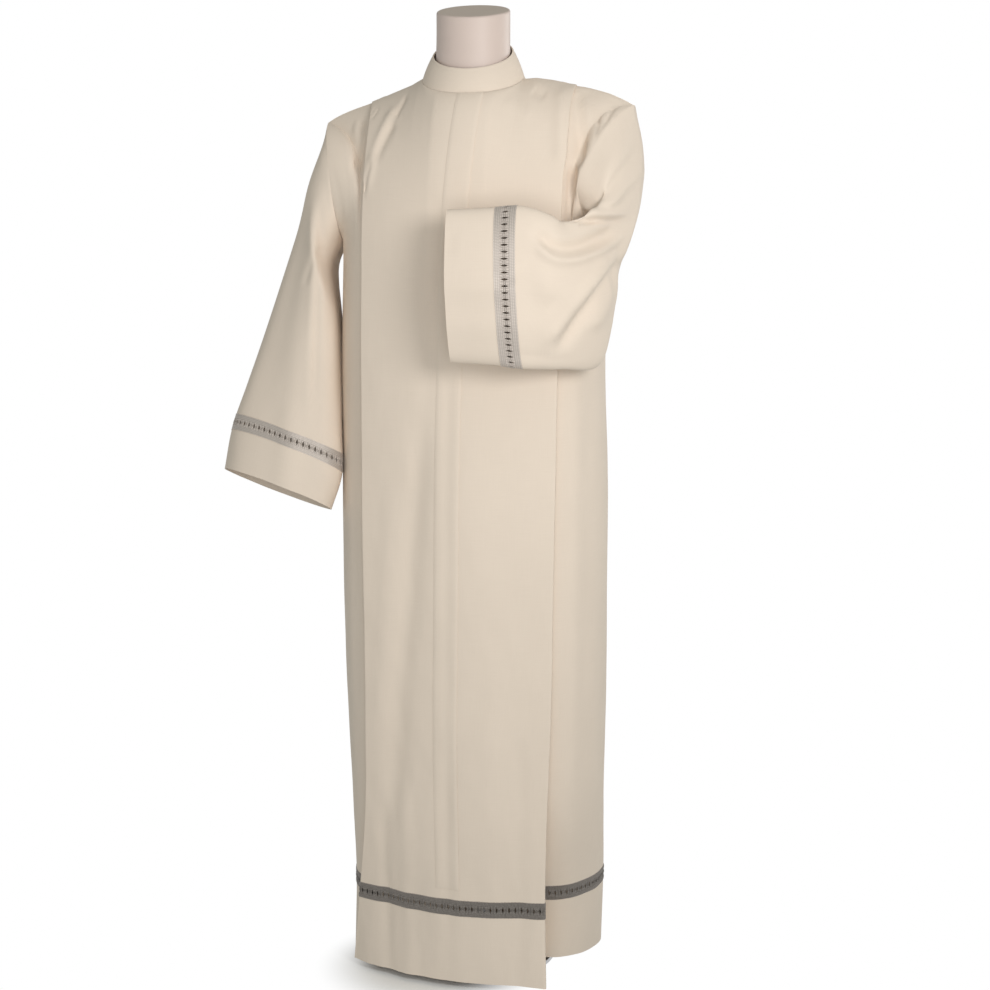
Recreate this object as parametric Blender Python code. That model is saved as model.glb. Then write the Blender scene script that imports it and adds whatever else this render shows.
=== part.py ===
"""A white alb with pressed pleats and openwork trim, on a limbless dress form with a pole and a base.

Metres, +Z up. The wearer's front faces -Y and the wearer's left is +X. The cloth is a thin wall: every
piece is a grid of points on its outer face, and its inner face is the same grid moved in along the
normals, which pieces that meet at a seam share.
"""

import bpy
import numpy as np

MM = 0.001

# Cloth and seams
CLOTH = 1.0 * MM
SEAM = 0.3 * MM
ON_TOP = 0.5 * MM
SLEEVE_SEAM = 1.0 * MM

# Heights of the garment
HEM = 12 * MM
TRIM_LOW = 131 * MM
TRIM_HIGH = 158 * MM
CHEST = 1190 * MM
SKIRT_ROWS = (0.158, 0.30, 0.45, 0.65, 0.86, 1.05, 1.19)
RISE_STEPS = 5
RISE_ANGLE = np.radians(80)

# Neckline and collar
NECK_HALF_WIDTH = 80 * MM
NECK_HALF_DEPTH = 76 * MM
NECK_FRONT_HEIGHT = 1457 * MM
NECK_BACK_HEIGHT = 1497 * MM
COLLAR_HEIGHT = 37 * MM
COLLAR_BACK_EXTRA = 4 * MM
COLLAR_TOP_HALF_WIDTH = 62.5 * MM
COLLAR_TOP_HALF_DEPTH = 63 * MM
NECK_STEPS = 4

# Shoulders: the seam runs on the ridge, and its far end is the tip of the sleeve head
RIDGE_Y = 8 * MM
SHOULDER_STRAIGHTNESS = 0.8
SHOULDER_X = {1: 252 * MM, -1: 238 * MM}
SHOULDER_HEIGHT = {1: 1430 * MM, -1: 1404 * MM}

# Pressed pleats: the panel's edge turns under, runs back by the underlay and turns out again
PLEAT_TOP_X = {1: 163 * MM, -1: 166 * MM}
UNDERLAY = 26 * MM
PLEAT_STEP = 7 * MM
# Columns: how far outward from the panel's edge, how far into the body, share of an open pleat's depth.
PLEAT_PATH = (
    (-2.0 * MM, 0.0 * MM, 0.00),
    (-0.3 * MM, 0.8 * MM, 0.00),
    (0.0 * MM, 2.3 * MM, 0.00),
    (-0.5 * MM, 3.8 * MM, 0.01),
    (-2.5 * MM, 4.5 * MM, 0.04),
    (-UNDERLAY, 4.5 * MM, 0.46),
    (-UNDERLAY - 1.5 * MM, 5.7 * MM, 0.50),
    (-UNDERLAY, PLEAT_STEP, 0.54),
)

# Plan of the body for the wearer's left (1) and right (-1).
# Columns: height, panel edge's x and y, centre's y, side seam's x and y, depth of the open pleat.
FRONT_PLAN = {
    1: (
        (0.012, 0.142, -0.113, -0.110, 0.200, 0.110, 0.120),
        (0.140, 0.138, -0.106, -0.113, 0.206, 0.085, 0.072),
        (0.300, 0.143, -0.112, -0.122, 0.211, 0.042, 0.022),
        (0.500, 0.149, -0.115, -0.131, 0.215, 0.022, 0.004),
        (0.800, 0.153, -0.117, -0.138, 0.216, 0.020, 0.000),
        (1.050, 0.157, -0.117, -0.141, 0.209, 0.020, 0.000),
        (1.190, 0.160, -0.115, -0.143, 0.212, 0.020, 0.000),
    ),
    -1: (
        (0.012, 0.199, -0.055, -0.110, 0.213, 0.030, 0.012),
        (0.140, 0.181, -0.072, -0.113, 0.208, 0.024, 0.008),
        (0.300, 0.164, -0.100, -0.122, 0.211, 0.021, 0.004),
        (0.500, 0.158, -0.113, -0.131, 0.218, 0.020, 0.000),
        (0.800, 0.158, -0.115, -0.138, 0.219, 0.020, 0.000),
        (1.050, 0.157, -0.115, -0.141, 0.217, 0.020, 0.000),
        (1.190, 0.155, -0.113, -0.143, 0.213, 0.020, 0.000),
    ),
}
# The back shares the side seams. Columns: height, panel edge's x and y, centre's y, depth of the open pleat.
BACK_PLAN = (
    (0.012, 0.158, 0.140, 0.168, 0.012),
    (0.300, 0.154, 0.136, 0.160, 0.004),
    (0.800, 0.153, 0.128, 0.148, 0.000),
    (1.190, 0.158, 0.122, 0.142, 0.000),
)
# Where the columns of the side stand on their quarter of a curve, from the pleat to the side seam. The
# first ones end on the shoulder, and one for each step of the armhole follows.
SHOULDER_ANGLES = (8, 15, 22)
ARMHOLE_ANGLES = (24.5, 26.5, 28.5, 30.5, 37, 49, 62, 76, 90)
ARMHOLE_STEPS = len(ARMHOLE_ANGLES)
SIDE_ANGLES = np.radians(SHOULDER_ANGLES + ARMHOLE_ANGLES)
PANEL_STEPS = 3
SIDEWAYS_POWER = 3.5

# Armholes: underarm point, and the way from the middle of the armhole to its front and to its back
UNDERARM = {1: (0.2125, 0.020, 1.215), -1: (-0.2135, 0.020, 1.215)}
ARMHOLE_FRONT = {1: (-0.052, -0.105, -0.006), -1: (0.0115, -0.080, -0.008)}
ARMHOLE_BACK = {1: (0.002, 0.084, 0.004), -1: (0.002, 0.080, 0.004)}
# How far the lower front of an armhole stands out, so that it stays on the body's side
ARMHOLE_EASE = {1: 16 * MM, -1: 0.0}
# How soon the front of an armhole draws in above its middle: 1 is a plain oval
ARMHOLE_DRAW = {1: 1.8, -1: 1.0}

# Sleeves: one row for each ring after the armhole. Columns: the points where the tube passes under the arm,
# in front of it, outside it and behind it.
SLEEVE_RINGS = {
    1: (
        ((0.2240, 0.0140, 1.2080), (0.2120, -0.0990, 1.3020), (0.2660, 0.0100, 1.3700), (0.2480, 0.0800, 1.2950)),
        ((0.2270, 0.0020, 1.2010), (0.2160, -0.1110, 1.2930), (0.2670, -0.0060, 1.2980), (0.2430, 0.0550, 1.2450)),
        ((0.2250, -0.0200, 1.1940), (0.2140, -0.1230, 1.2860), (0.2560, -0.0400, 1.2350), (0.2320, 0.0140, 1.1970)),
        ((0.2190, -0.0450, 1.1870), (0.2080, -0.1350, 1.2810), (0.2450, -0.0620, 1.2050), (0.2270, -0.0120, 1.1560)),
        ((0.2110, -0.0720, 1.1800), (0.1980, -0.1480, 1.2770), (0.2390, -0.0880, 1.1900), (0.2245, -0.0360, 1.1150)),
        ((0.2040, -0.0970, 1.1740), (0.1870, -0.1600, 1.2730), (0.2360, -0.1130, 1.1820), (0.2235, -0.0610, 1.0830)),
        ((0.1950, -0.1190, 1.1700), (0.1740, -0.1720, 1.2720), (0.2230, -0.1500, 1.1760), (0.2190, -0.0900, 1.0500)),
        ((0.1615, -0.1440, 1.1660), (0.1550, -0.1900, 1.2840), (0.1615, -0.2160, 1.1660), (0.1680, -0.1580, 1.0480)),
        ((0.1350, -0.1575, 1.1720), (0.1320, -0.1980, 1.2930), (0.1350, -0.2265, 1.1720), (0.1380, -0.1780, 1.0500)),
        ((0.1128, -0.1670, 1.1745), (0.1090, -0.2010, 1.2970), (0.1128, -0.2340, 1.1745), (0.1165, -0.1910, 1.0520)),
        ((0.0822, -0.1730, 1.1750), (0.0780, -0.2040, 1.2940), (0.0822, -0.2390, 1.1750), (0.0865, -0.1980, 1.0560)),
        ((0.0072, -0.1805, 1.1740), (0.0050, -0.2080, 1.2890), (0.0072, -0.2425, 1.1740), (0.0095, -0.2050, 1.0590)),
    ),
    -1: (
        ((-0.2265, 0.0040, 1.1790), (-0.2430, -0.0680, 1.2555), (-0.2620, 0.0160, 1.3250), (-0.2515, 0.0940, 1.2455)),
        ((-0.2140, -0.0220, 1.0940), (-0.2430, -0.0770, 1.1660), (-0.2920, 0.0060, 1.2220), (-0.2650, 0.0790, 1.1460)),
        ((-0.2093, -0.0440, 0.9900), (-0.2640, -0.0875, 1.0490), (-0.3360, -0.0120, 1.0850), (-0.2855, 0.0550, 1.0210)),
        ((-0.2065, -0.0560, 0.9130), (-0.2800, -0.0970, 0.9680), (-0.3690, -0.0300, 0.9860), (-0.3030, 0.0350, 0.9320)),
        ((-0.2045, -0.0610, 0.8820), (-0.2890, -0.1020, 0.9280), (-0.3875, -0.0380, 0.9360), (-0.3130, 0.0270, 0.8890)),
        ((-0.2045, -0.0640, 0.8540), (-0.2925, -0.1050, 0.9040), (-0.3945, -0.0420, 0.9115), (-0.3165, 0.0220, 0.8640)),
        ((-0.2225, -0.0660, 0.7920), (-0.3060, -0.1110, 0.8400), (-0.4065, -0.0500, 0.8480), (-0.3310, 0.0140, 0.7980)),
    ),
}
TRIM_RING = -3
CUFF_RING = -2
# The column of a sleeve where its cuff's front and back trims meet: the upper edge or the inner one
CUFF_TOP = {1: 4, -1: 0}

# Placket: a strip over the centre front. Columns: height, x of its edge toward the wearer's left.
PLACKET_WIDTH = 40 * MM
PLACKET_END = 172 * MM
PLACKET_EDGE = ((0.158, 0.000), (0.45, 0.000), (0.65, 0.004), (1.00, 0.010), (1.30, 0.021), (1.48, 0.034))
PLACKET_STEPS = 3

# Openwork: one eye for each pitch of trim
EYE_PITCH = 10.4 * MM
EYE_LENGTH_SHARE = 0.62
EYE_HEIGHT_SHARE = 0.44

# Dress form
FORM_SIDES = 28
FORM_GAP = 1.2 * MM
# Columns: height, half width, half depth, y of the middle.
FORM_LEVELS = (
    (0.800, 0.148, 0.098, 0.012),
    (0.812, 0.158, 0.108, 0.012),
    (0.870, 0.166, 0.114, 0.012),
    (1.000, 0.152, 0.102, 0.008),
    (1.200, 0.172, 0.108, 0.004),
    (1.310, 0.186, 0.098, 0.008),
    (1.370, 0.192, 0.080, 0.014),
)
# Ridge of the form's shoulders. Columns: half width, half depth, how far it lies under the shoulder seam.
FORM_RIDGE = (
    (0.187, 0.064, 18.0 * MM),
    (0.137, 0.056, 11.0 * MM),
    (0.120, 0.050, CLOTH + FORM_GAP),
    (0.102, 0.045, CLOTH + FORM_GAP),
    (0.084, 0.042, CLOTH + 2 * FORM_GAP),
)
RIDGE_SHARPNESS = 2.0
NECK_LEVELS = (
    (1.482, 0.063, 0.054, 0.000),
    (1.510, 0.0585, 0.0560, 0.000),
    (1.548, 0.0575, 0.0560, 0.002),
)
NECK_TOP_HEIGHT = 1580 * MM
NECK_TOP_SLOPE = 0.17
POLE_RADIUS = 12 * MM
POLE_SIDES = 24
BASE_RADIUS = 128 * MM
BASE_SIDES = 48
BASE_THICKNESS = 8 * MM
BASE_CHAMFER = 1.5 * MM
STAND_Y = 48 * MM

# Where the stand's middle line is in the part's frame, whose origin is the middle of the footprint
ORIGIN = (0.069779, 0.033247)

IVORY = (0.80, 0.765, 0.66, 1.0)
SILVER = (0.40, 0.40, 0.41, 1.0)
FORM_SKIN = (0.74, 0.66, 0.60, 1.0)
STEEL = (0.55, 0.55, 0.56, 1.0)


def clear_scene():
    """Removes the objects that the scene starts with."""
    for item in list(bpy.data.objects):
        bpy.data.objects.remove(item, do_unlink=True)


def curve_through(table, at):
    """A smooth curve through the rows of a table, whose first column is the place along it."""
    rows = np.array(table, float)
    knots = rows[:, 0]
    values = rows[:, 1:]
    slopes = np.gradient(values, knots, axis=0)
    at = np.clip(np.atleast_1d(at), knots[0], knots[-1])
    low = np.clip(np.searchsorted(knots, at) - 1, 0, len(knots) - 2)
    span = (knots[low + 1] - knots[low])[:, None]
    t = (at - knots[low])[:, None] / span
    start = values[low] * (2 * t**3 - 3 * t**2 + 1) + values[low + 1] * (3 * t**2 - 2 * t**3)
    bend = slopes[low] * (t**3 - 2 * t**2 + t) + slopes[low + 1] * (t**3 - t**2)
    return start + bend * span


def neckline(angle):
    """Points of the neckline: 0 is the centre front, a half turn is the centre back."""
    angle = np.asarray(angle, float)
    rise = (1 - np.cos(angle)) / 2
    height = NECK_FRONT_HEIGHT + (NECK_BACK_HEIGHT - NECK_FRONT_HEIGHT) * rise
    return np.stack([NECK_HALF_WIDTH * np.sin(angle), -NECK_HALF_DEPTH * np.cos(angle), height], -1)


def shoulder_seam(side, x, under):
    """Points of the ridge of one shoulder at distance x from the middle, and that far under its outer line."""
    x = np.asarray(x, float)
    start = neckline(np.pi / 2)
    t = (x - start[0]) / (SHOULDER_X[side] - start[0])
    drop = start[2] - SHOULDER_HEIGHT[side]
    height = start[2] - drop * (SHOULDER_STRAIGHTNESS * t + (1 - SHOULDER_STRAIGHTNESS) * t**3)
    ridge = RIDGE_Y * np.clip(t * 4, 0, 1)
    return np.stack([side * x, ridge + 0 * x, height - under], -1)


def armhole(side, angle):
    """Points of one armhole: 0 is the underarm, a quarter turn the front, a half turn the shoulder tip."""
    angle = np.asarray(angle, float)[:, None]
    low = np.array(UNDERARM[side]) * (side, 1, 1)
    tip = shoulder_seam(side, SHOULDER_X[side], 0.0) * (side, 1, 1)
    middle = (low + tip) / 2
    reach = np.where(np.sin(angle) > 0, ARMHOLE_FRONT[side], np.negative(ARMHOLE_BACK[side]))
    if side < 0:
        reach = reach * (-1, 1, 1)
    ease = np.where((angle > 0) & (angle < np.pi / 2), ARMHOLE_EASE[side] * np.sin(2 * angle), 0.0)
    power = np.where((angle > np.pi / 2) & (angle < np.pi), ARMHOLE_DRAW[side], 1.0)
    sine = np.sign(np.sin(angle)) * np.abs(np.sin(angle)) ** power
    points = middle - (tip - low) / 2 * np.cos(angle) + reach * sine + ease * (1, 0, 0)
    return points * (side, 1, 1)


def plan_columns(side, face, heights):
    """x and y of every column of a quarter of the body at the given heights, from its centre to its seam."""
    front = curve_through(FRONT_PLAN[side], heights)
    edge_x, edge_y, centre_y, seam_x, seam_y, opened = front.T[:, :, None]
    if face == "back":
        edge_x, edge_y, centre_y, opened = curve_through(BACK_PLAN, heights).T[:, :, None]
    inward = 1 if face == "front" else -1
    neck_x = NECK_HALF_WIDTH * np.sin(np.linspace(0, np.pi / 2, NECK_STEPS + 1))
    share = np.linspace(0, 1, PANEL_STEPS + 1)[1:-1]
    last = edge_x + PLEAT_PATH[0][0]
    panel_x = np.concatenate([neck_x + 0 * edge_x, neck_x[-1] + (last - neck_x[-1]) * share], 1)
    panel_y = centre_y + (edge_y - centre_y) * (panel_x / edge_x) ** 2
    along, behind, share = np.array(PLEAT_PATH).T
    pleat_x = edge_x + along
    pleat_y = edge_y + inward * (behind + share / PLEAT_PATH[-1][2] * opened)
    side_x = pleat_x[:, -1:] + (seam_x - pleat_x[:, -1:]) * np.sin(SIDE_ANGLES)
    side_y = pleat_y[:, -1:] + (seam_y - pleat_y[:, -1:]) * (1 - np.cos(SIDE_ANGLES))
    x = np.concatenate([panel_x, pleat_x, side_x], 1)
    y = np.concatenate([panel_y, pleat_y, side_y], 1)
    return x, y


def top_edge(side, face):
    """The upper end of every column of a quarter: neckline, shoulder seam with its pleat, then armhole."""
    turn = np.linspace(0, np.pi / 2, NECK_STEPS + 1)
    neck = neckline(turn if face == "front" else np.pi - turn) * (side, 1, 1)
    last = PLEAT_TOP_X[side] + PLEAT_PATH[0][0]
    share = np.linspace(0, 1, PANEL_STEPS + 1)[1:-1]
    panel = shoulder_seam(side, NECK_HALF_WIDTH + (last - NECK_HALF_WIDTH) * share, 0.0)
    along, behind, _ = np.array(PLEAT_PATH).T
    pleat = shoulder_seam(side, PLEAT_TOP_X[side] + along, behind)
    share = np.arange(1, len(SHOULDER_ANGLES)) / len(SHOULDER_ANGLES)
    start = PLEAT_TOP_X[side] - UNDERLAY
    outer = shoulder_seam(side, start + (SHOULDER_X[side] - start) * share, PLEAT_STEP * (1 - share))
    angle = np.linspace(np.pi, 0 if face == "front" else 2 * np.pi, ARMHOLE_STEPS + 1)
    return np.concatenate([neck, panel, pleat, outer, armhole(side, angle)])


def rise(side, face):
    """Rows of a quarter above the chest: each column climbs as a quarter of an ellipse to its upper end."""
    x, y = plan_columns(side, face, [CHEST])
    start = np.stack([side * x[0], y[0], np.full(x.shape[1], CHEST)], -1)
    end = top_edge(side, face)
    angle = (np.arange(1, RISE_STEPS + 1) / RISE_STEPS * RISE_ANGLE)[:, None]
    up = np.sin(angle) / np.sin(RISE_ANGLE)
    back = (1 - np.cos(angle)) / (1 - np.cos(RISE_ANGLE))
    across = (angle / RISE_ANGLE) ** SIDEWAYS_POWER
    blend = np.stack([across, back, up], -1)
    return start + (end - start) * blend


def body_rows(side, face, heights):
    """Rows of a quarter of the body below the chest."""
    x, y = plan_columns(side, face, heights)
    return np.stack([side * x, y, np.broadcast_to(np.array(heights)[:, None], x.shape)], -1)


def body_quarter(side, face):
    return np.concatenate([body_rows(side, face, SKIRT_ROWS), rise(side, face)])


def sleeve_grid(side):
    """Rings of one sleeve, from the armhole to the cuff. The first ring is the armhole itself."""
    turn = np.linspace(0, 2 * np.pi, 2 * ARMHOLE_STEPS + 1)
    rows = [armhole(side, turn)]
    for inner, front, outer, back in np.array(SLEEVE_RINGS[side]):
        middle = (inner + outer) / 2
        reach = np.where(np.sin(turn)[:, None] > 0, front - middle, middle - back)
        rows.append(middle + (inner - middle) * np.cos(turn)[:, None] + reach * np.sin(turn)[:, None])
    return np.array(rows)


def grid_normals(grid, closed):
    """Unit normals of a grid of points. closed says that its last column repeats the first."""
    down = np.gradient(grid, axis=0)
    across = np.gradient(grid, axis=1)
    if closed:
        joint = (grid[:, 1] - grid[:, -2]) / 2
        across[:, 0] = joint
        across[:, -1] = joint
    normals = np.cross(across, down)
    return normals / np.linalg.norm(normals, axis=-1, keepdims=True)


def share_normals(pieces):
    """Gives points that several pieces have in common one normal, so that their walls meet in a mitre."""
    points = np.concatenate([piece["grid"].reshape(-1, 3) for piece in pieces])
    normals = np.concatenate([piece["normals"].reshape(-1, 3) for piece in pieces])
    _, index = np.unique(np.round(points / (0.02 * MM)), axis=0, return_inverse=True)
    index = index.reshape(-1)
    total = np.zeros((index.max() + 1, 3))
    np.add.at(total, index, normals)
    shared = total[index]
    shared /= np.linalg.norm(shared, axis=-1, keepdims=True)
    start = 0
    for piece in pieces:
        count = piece["grid"].size // 3
        piece["normals"] = shared[start:start + count].reshape(piece["grid"].shape)
        start += count


def piece_of(name, grid, colour, closed=False, flip=False, seam=SEAM):
    """A cloth wall: its outer points, their normals and how it stands at its seams."""
    own = grid_normals(grid, closed)
    normals = -own if flip else own
    keys = ("name", "grid", "own", "normals", "colour", "closed", "flip", "seam")
    return dict(zip(keys, (name, grid, own, normals, colour, closed, flip, seam)))


def pulled_back(piece):
    """The grid with each open edge moved in by half a seam, square to that edge and along the cloth."""
    grid = piece["grid"].copy()
    way = np.zeros_like(grid)
    across = np.gradient(grid, axis=1)
    along = np.gradient(grid, axis=0)
    if piece["closed"]:
        joint = (grid[:, 1] - grid[:, -2]) / 2
        across[:, 0] = joint
        across[:, -1] = joint
    up = np.cross(piece["own"], across)
    right = np.cross(along, piece["own"])
    up /= np.linalg.norm(up, axis=-1, keepdims=True)
    right /= np.linalg.norm(right, axis=-1, keepdims=True)
    way[0] += up[0]
    way[-1] -= up[-1]
    if not piece["closed"]:
        way[:, 0] += right[:, 0]
        way[:, -1] -= right[:, -1]
    return grid + way * piece["seam"] / 2


REVERSED = (0, 3, 2, 1)


def wall_mesh(piece):
    """Points and faces of a cloth wall: outer grid, inner grid, and a strip along each open edge.

    Both sides of a quad are split between the same two corners, so that the wall stays as thick.
    """
    outer = pulled_back(piece)
    inner = outer - piece["normals"] * CLOTH
    rows, columns = outer.shape[:2]
    if piece["closed"]:
        outer = outer[:, :-1]
        inner = inner[:, :-1]
    width = outer.shape[1]
    index = np.arange(rows * width).reshape(rows, width)
    if piece["closed"]:
        index = np.concatenate([index, index[:, :1]], 1)
    count = rows * width
    quads = np.stack([index[:-1, :-1], index[:-1, 1:], index[1:, 1:], index[1:, :-1]], -1).reshape(-1, 4)
    corners = outer.reshape(-1, 3)[quads]
    spans = np.linalg.norm(corners[:, :2] - corners[:, 2:], axis=-1)
    turned = spans[:, 1] < spans[:, 0]
    quads[turned] = np.roll(quads[turned], -1, axis=1)
    faces = [quads, quads[:, REVERSED] + count]
    edges = [(index[0, 1:], index[0, :-1]), (index[-1, :-1], index[-1, 1:])]
    if not piece["closed"]:
        edges += [(index[:-1, 0], index[1:, 0]), (index[1:, -1], index[:-1, -1])]
    for first, second in edges:
        faces.append(np.stack([first, second, second + count, first + count], -1))
    faces = np.concatenate(faces)
    if piece["flip"]:
        faces = faces[:, REVERSED]
    points = np.concatenate([outer.reshape(-1, 3), inner.reshape(-1, 3)])
    return points, faces.tolist()


def triangulated(faces):
    """Quads as pairs of triangles, so that a bent quad has one shape everywhere."""
    split = []
    for a, b, c, d in faces:
        split.append((a, b, c))
        split.append((a, c, d))
    return split


def material_of(name, colour, metallic=0.0, roughness=0.85):
    material = bpy.data.materials.new(name)
    material.use_nodes = True
    shader = material.node_tree.nodes["Principled BSDF"]
    shader.inputs["Base Color"].default_value = colour
    shader.inputs["Roughness"].default_value = roughness
    shader.inputs["Metallic"].default_value = metallic
    return material


def add_object(name, points, faces, material, stand, smooth=True):
    mesh = bpy.data.meshes.new(name)
    mesh.from_pydata(np.asarray(points).tolist(), [], faces)
    mesh.validate()
    mesh.materials.append(material)
    if smooth:
        mesh.shade_smooth()
    item = bpy.data.objects.new(name, mesh)
    bpy.context.scene.collection.objects.link(item)
    item.parent = stand
    return item


def add_wall(piece, stand):
    points, faces = wall_mesh(piece)
    material = material_of(piece["name"] + "_cloth", piece["colour"])
    return add_object(piece["name"], points, triangulated(faces), material, stand)


def along_line(points, places):
    """Points at the given distances along a line of points."""
    steps = np.linalg.norm(np.diff(points, axis=0), axis=-1)
    distance = np.concatenate([[0], np.cumsum(steps)])
    return np.stack([np.interp(places, distance, points[:, axis]) for axis in range(3)], -1)


def trim_stations(line, open_spans):
    """Distances along a line where a trim has a rib, and whether an eye follows each one."""
    steps = np.linalg.norm(np.diff(line, axis=0), axis=-1)
    distance = np.concatenate([[0], np.cumsum(steps)])
    places = [0.0]
    eyes = []
    column = 0
    for start, end in open_spans:
        while column < start:
            column += 1
            places.append(distance[column])
            eyes.append(False)
        count = max(1, round((distance[end] - distance[start]) / EYE_PITCH))
        ribs = np.linspace(distance[start], distance[end], count + 1)[1:]
        places += ribs.tolist()
        eyes += [True] * count
        column = end
    while column < len(line) - 1:
        column += 1
        places.append(distance[column])
        eyes.append(False)
    return np.array(places) / distance[-1], eyes


def openwork_mesh(low, high, open_spans):
    """A trim between two lines of points, with an eye cut through each cell of the open spans.

    Each cell has its four corners and, where it is open, a four-sided eye whose corners are at the middle
    of the cell's sides, held off them by the ribs.
    """
    share, eyes = trim_stations(low, open_spans)
    lengths = [np.linalg.norm(np.diff(line, axis=0), axis=-1).sum() for line in (low, high)]
    middle = (share[1:] + share[:-1]) / 2
    half = (share[1:] - share[:-1]) / 2 * EYE_LENGTH_SHARE

    def surface(places, height):
        bottom = along_line(low, places * lengths[0])
        top = along_line(high, places * lengths[1])
        return bottom + (top - bottom) * height

    seam = SEAM / np.linalg.norm(high[0] - low[0])
    eye = EYE_HEIGHT_SHARE / 2
    ribs = [surface(share, seam), surface(share, 1 - seam)]
    corners = [surface(middle - half, 0.5), surface(middle, 0.5 - eye)]
    corners += [surface(middle + half, 0.5), surface(middle, 0.5 + eye)]
    step = share[1] * 0.01
    way = surface(share + step, 0.5) - surface(share - step, 0.5)
    normals = np.cross(way, ribs[1] - ribs[0])
    normals /= np.linalg.norm(normals, axis=-1, keepdims=True)
    between = normals[1:] + normals[:-1]
    between /= np.linalg.norm(between, axis=-1, keepdims=True)
    for line in ribs:
        for edge, inside in ((0, 1), (-1, -2)):
            pull = line[inside] - line[edge]
            line[edge] += pull / np.linalg.norm(pull) * SEAM
    outer = np.concatenate(ribs + corners)
    depth = np.concatenate([normals, normals, between, between, between, between])
    points = np.concatenate([outer, outer - depth * CLOTH])
    total = len(outer)
    count = len(share)
    faces = []
    for cell, is_open in enumerate(eyes):
        b0, b1 = cell, cell + 1
        t0, t1 = count + cell, count + cell + 1
        if is_open:
            left, down, right, up = [2 * count + corner * (count - 1) + cell for corner in range(4)]
            front = [(t0, up, t1), (t0, left, up), (t0, b0, left), (b0, down, left)]
            front += [(b0, b1, down), (b1, right, down), (b1, t1, right), (t1, up, right)]
            walls = [(left, down), (down, right), (right, up), (up, left)]
        else:
            front = [(b0, b1, t1), (b0, t1, t0)]
            walls = []
        walls += [(b1, b0), (t0, t1)]
        faces += front
        faces += [(c + total, b + total, a + total) for a, b, c in front]
        for first, second in walls:
            faces.append((first, second, second + total))
            faces.append((first, second + total, first + total))
    last = count - 1
    for first, second in ((0, count), (count + last, last)):
        faces.append((first, second, second + total))
        faces.append((first, second + total, first + total))
    used = sorted({corner for face in faces for corner in face})
    place = {old: new for new, old in enumerate(used)}
    return points[used], [tuple(place[corner] for corner in face) for face in faces]


def add_openwork(name, low, high, open_spans, stand):
    points, faces = openwork_mesh(low, high, open_spans)
    return add_object(name, points, faces, material_of(name + "_thread", SILVER, 0.2, 0.6), stand)


def half_ring(face, heights):
    """Rows all across the front or the back, from the side seam at -X to the one at +X."""
    left = body_rows(-1, face, heights)[:, ::-1]
    right = body_rows(1, face, heights)
    return np.concatenate([left[:, :-1], right], 1)


def cloth_pieces():
    """Every plain cloth wall, as a grid of points with its normals."""
    front_left = body_quarter(1, "front")
    front_right = body_quarter(-1, "front")[:, ::-1]
    back_left = body_quarter(1, "back")
    back_right = body_quarter(-1, "back")
    back = np.concatenate([back_left[:, ::-1], back_right[:, 1:]], 1)
    pieces = [
        piece_of("front_left", front_left, IVORY),
        piece_of("front_right", front_right, IVORY),
        piece_of("back", back, IVORY),
        piece_of("collar", collar_grid(), IVORY, closed=True, seam=2 * SEAM),
        piece_of("hem_band_front", half_ring("front", (HEM, TRIM_LOW)), IVORY),
        piece_of("hem_band_back", half_ring("back", (HEM, TRIM_LOW)), IVORY, flip=True),
    ]
    for side, label in ((1, "left"), (-1, "right")):
        grid = sleeve_grid(side)
        tube = grid[:TRIM_RING + 1]
        pieces.append(piece_of("sleeve_" + label, tube, IVORY, closed=True, flip=side > 0, seam=SLEEVE_SEAM))
        pieces.append(piece_of("cuff_" + label, grid[CUFF_RING:], IVORY, closed=True, flip=side > 0))
    share_normals(pieces)
    return pieces


def collar_grid():
    """The stand collar: a ring that leans in from the neckline to its upper edge."""
    turn = np.linspace(0, 2 * np.pi, 4 * NECK_STEPS + 1)
    low = neckline(turn)
    high = low.copy()
    high[:, 0] *= COLLAR_TOP_HALF_WIDTH / NECK_HALF_WIDTH
    high[:, 1] *= COLLAR_TOP_HALF_DEPTH / NECK_HALF_DEPTH
    high[:, 2] += COLLAR_HEIGHT + COLLAR_BACK_EXTRA * (1 - np.cos(turn)) / 2
    middle = (low + high) / 2
    return np.array([low, middle, high])


def placket_grid():
    """The closing strip, on the front panel's own surface and moved out from it."""
    rows = np.array([PLACKET_END] + [height for height in SKIRT_ROWS if height > PLACKET_END])
    steps = np.linspace(1, 0, PLACKET_STEPS + 1)
    result = []
    for height in rows:
        x = curve_through(PLACKET_EDGE, height)[0, 0] - PLACKET_WIDTH * steps
        result.append(front_panel(x, height))
    angle = np.arange(1, RISE_STEPS + 1) / RISE_STEPS * RISE_ANGLE
    for part in angle:
        height = CHEST + (NECK_FRONT_HEIGHT - CHEST) * np.sin(part) / np.sin(RISE_ANGLE)
        x = curve_through(PLACKET_EDGE, height)[0, 0] - PLACKET_WIDTH * steps
        foot = front_panel(x, CHEST)
        end = neckline(np.arcsin(x / NECK_HALF_WIDTH))
        up = np.sin(part) / np.sin(RISE_ANGLE)
        back = (1 - np.cos(part)) / (1 - np.cos(RISE_ANGLE))
        result.append(foot + (end - foot) * np.array([0, back, up]))
    grid = np.array(result)
    way = grid[-2] - grid[-1]
    grid[-1] += way / np.linalg.norm(way, axis=-1, keepdims=True) * 2 * CLOTH
    return grid + grid_normals(grid, False) * (ON_TOP + CLOTH)


def front_panel(x, height):
    """Points of the front panel at distances x from the middle, below the chest."""
    points = []
    for place in x:
        plan = curve_through(FRONT_PLAN[1 if place > 0 else -1], height)[0]
        y = plan[2] + (plan[1] - plan[2]) * (place / plan[0]) ** 2
        points.append((place, y, height))
    return np.array(points)


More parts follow.
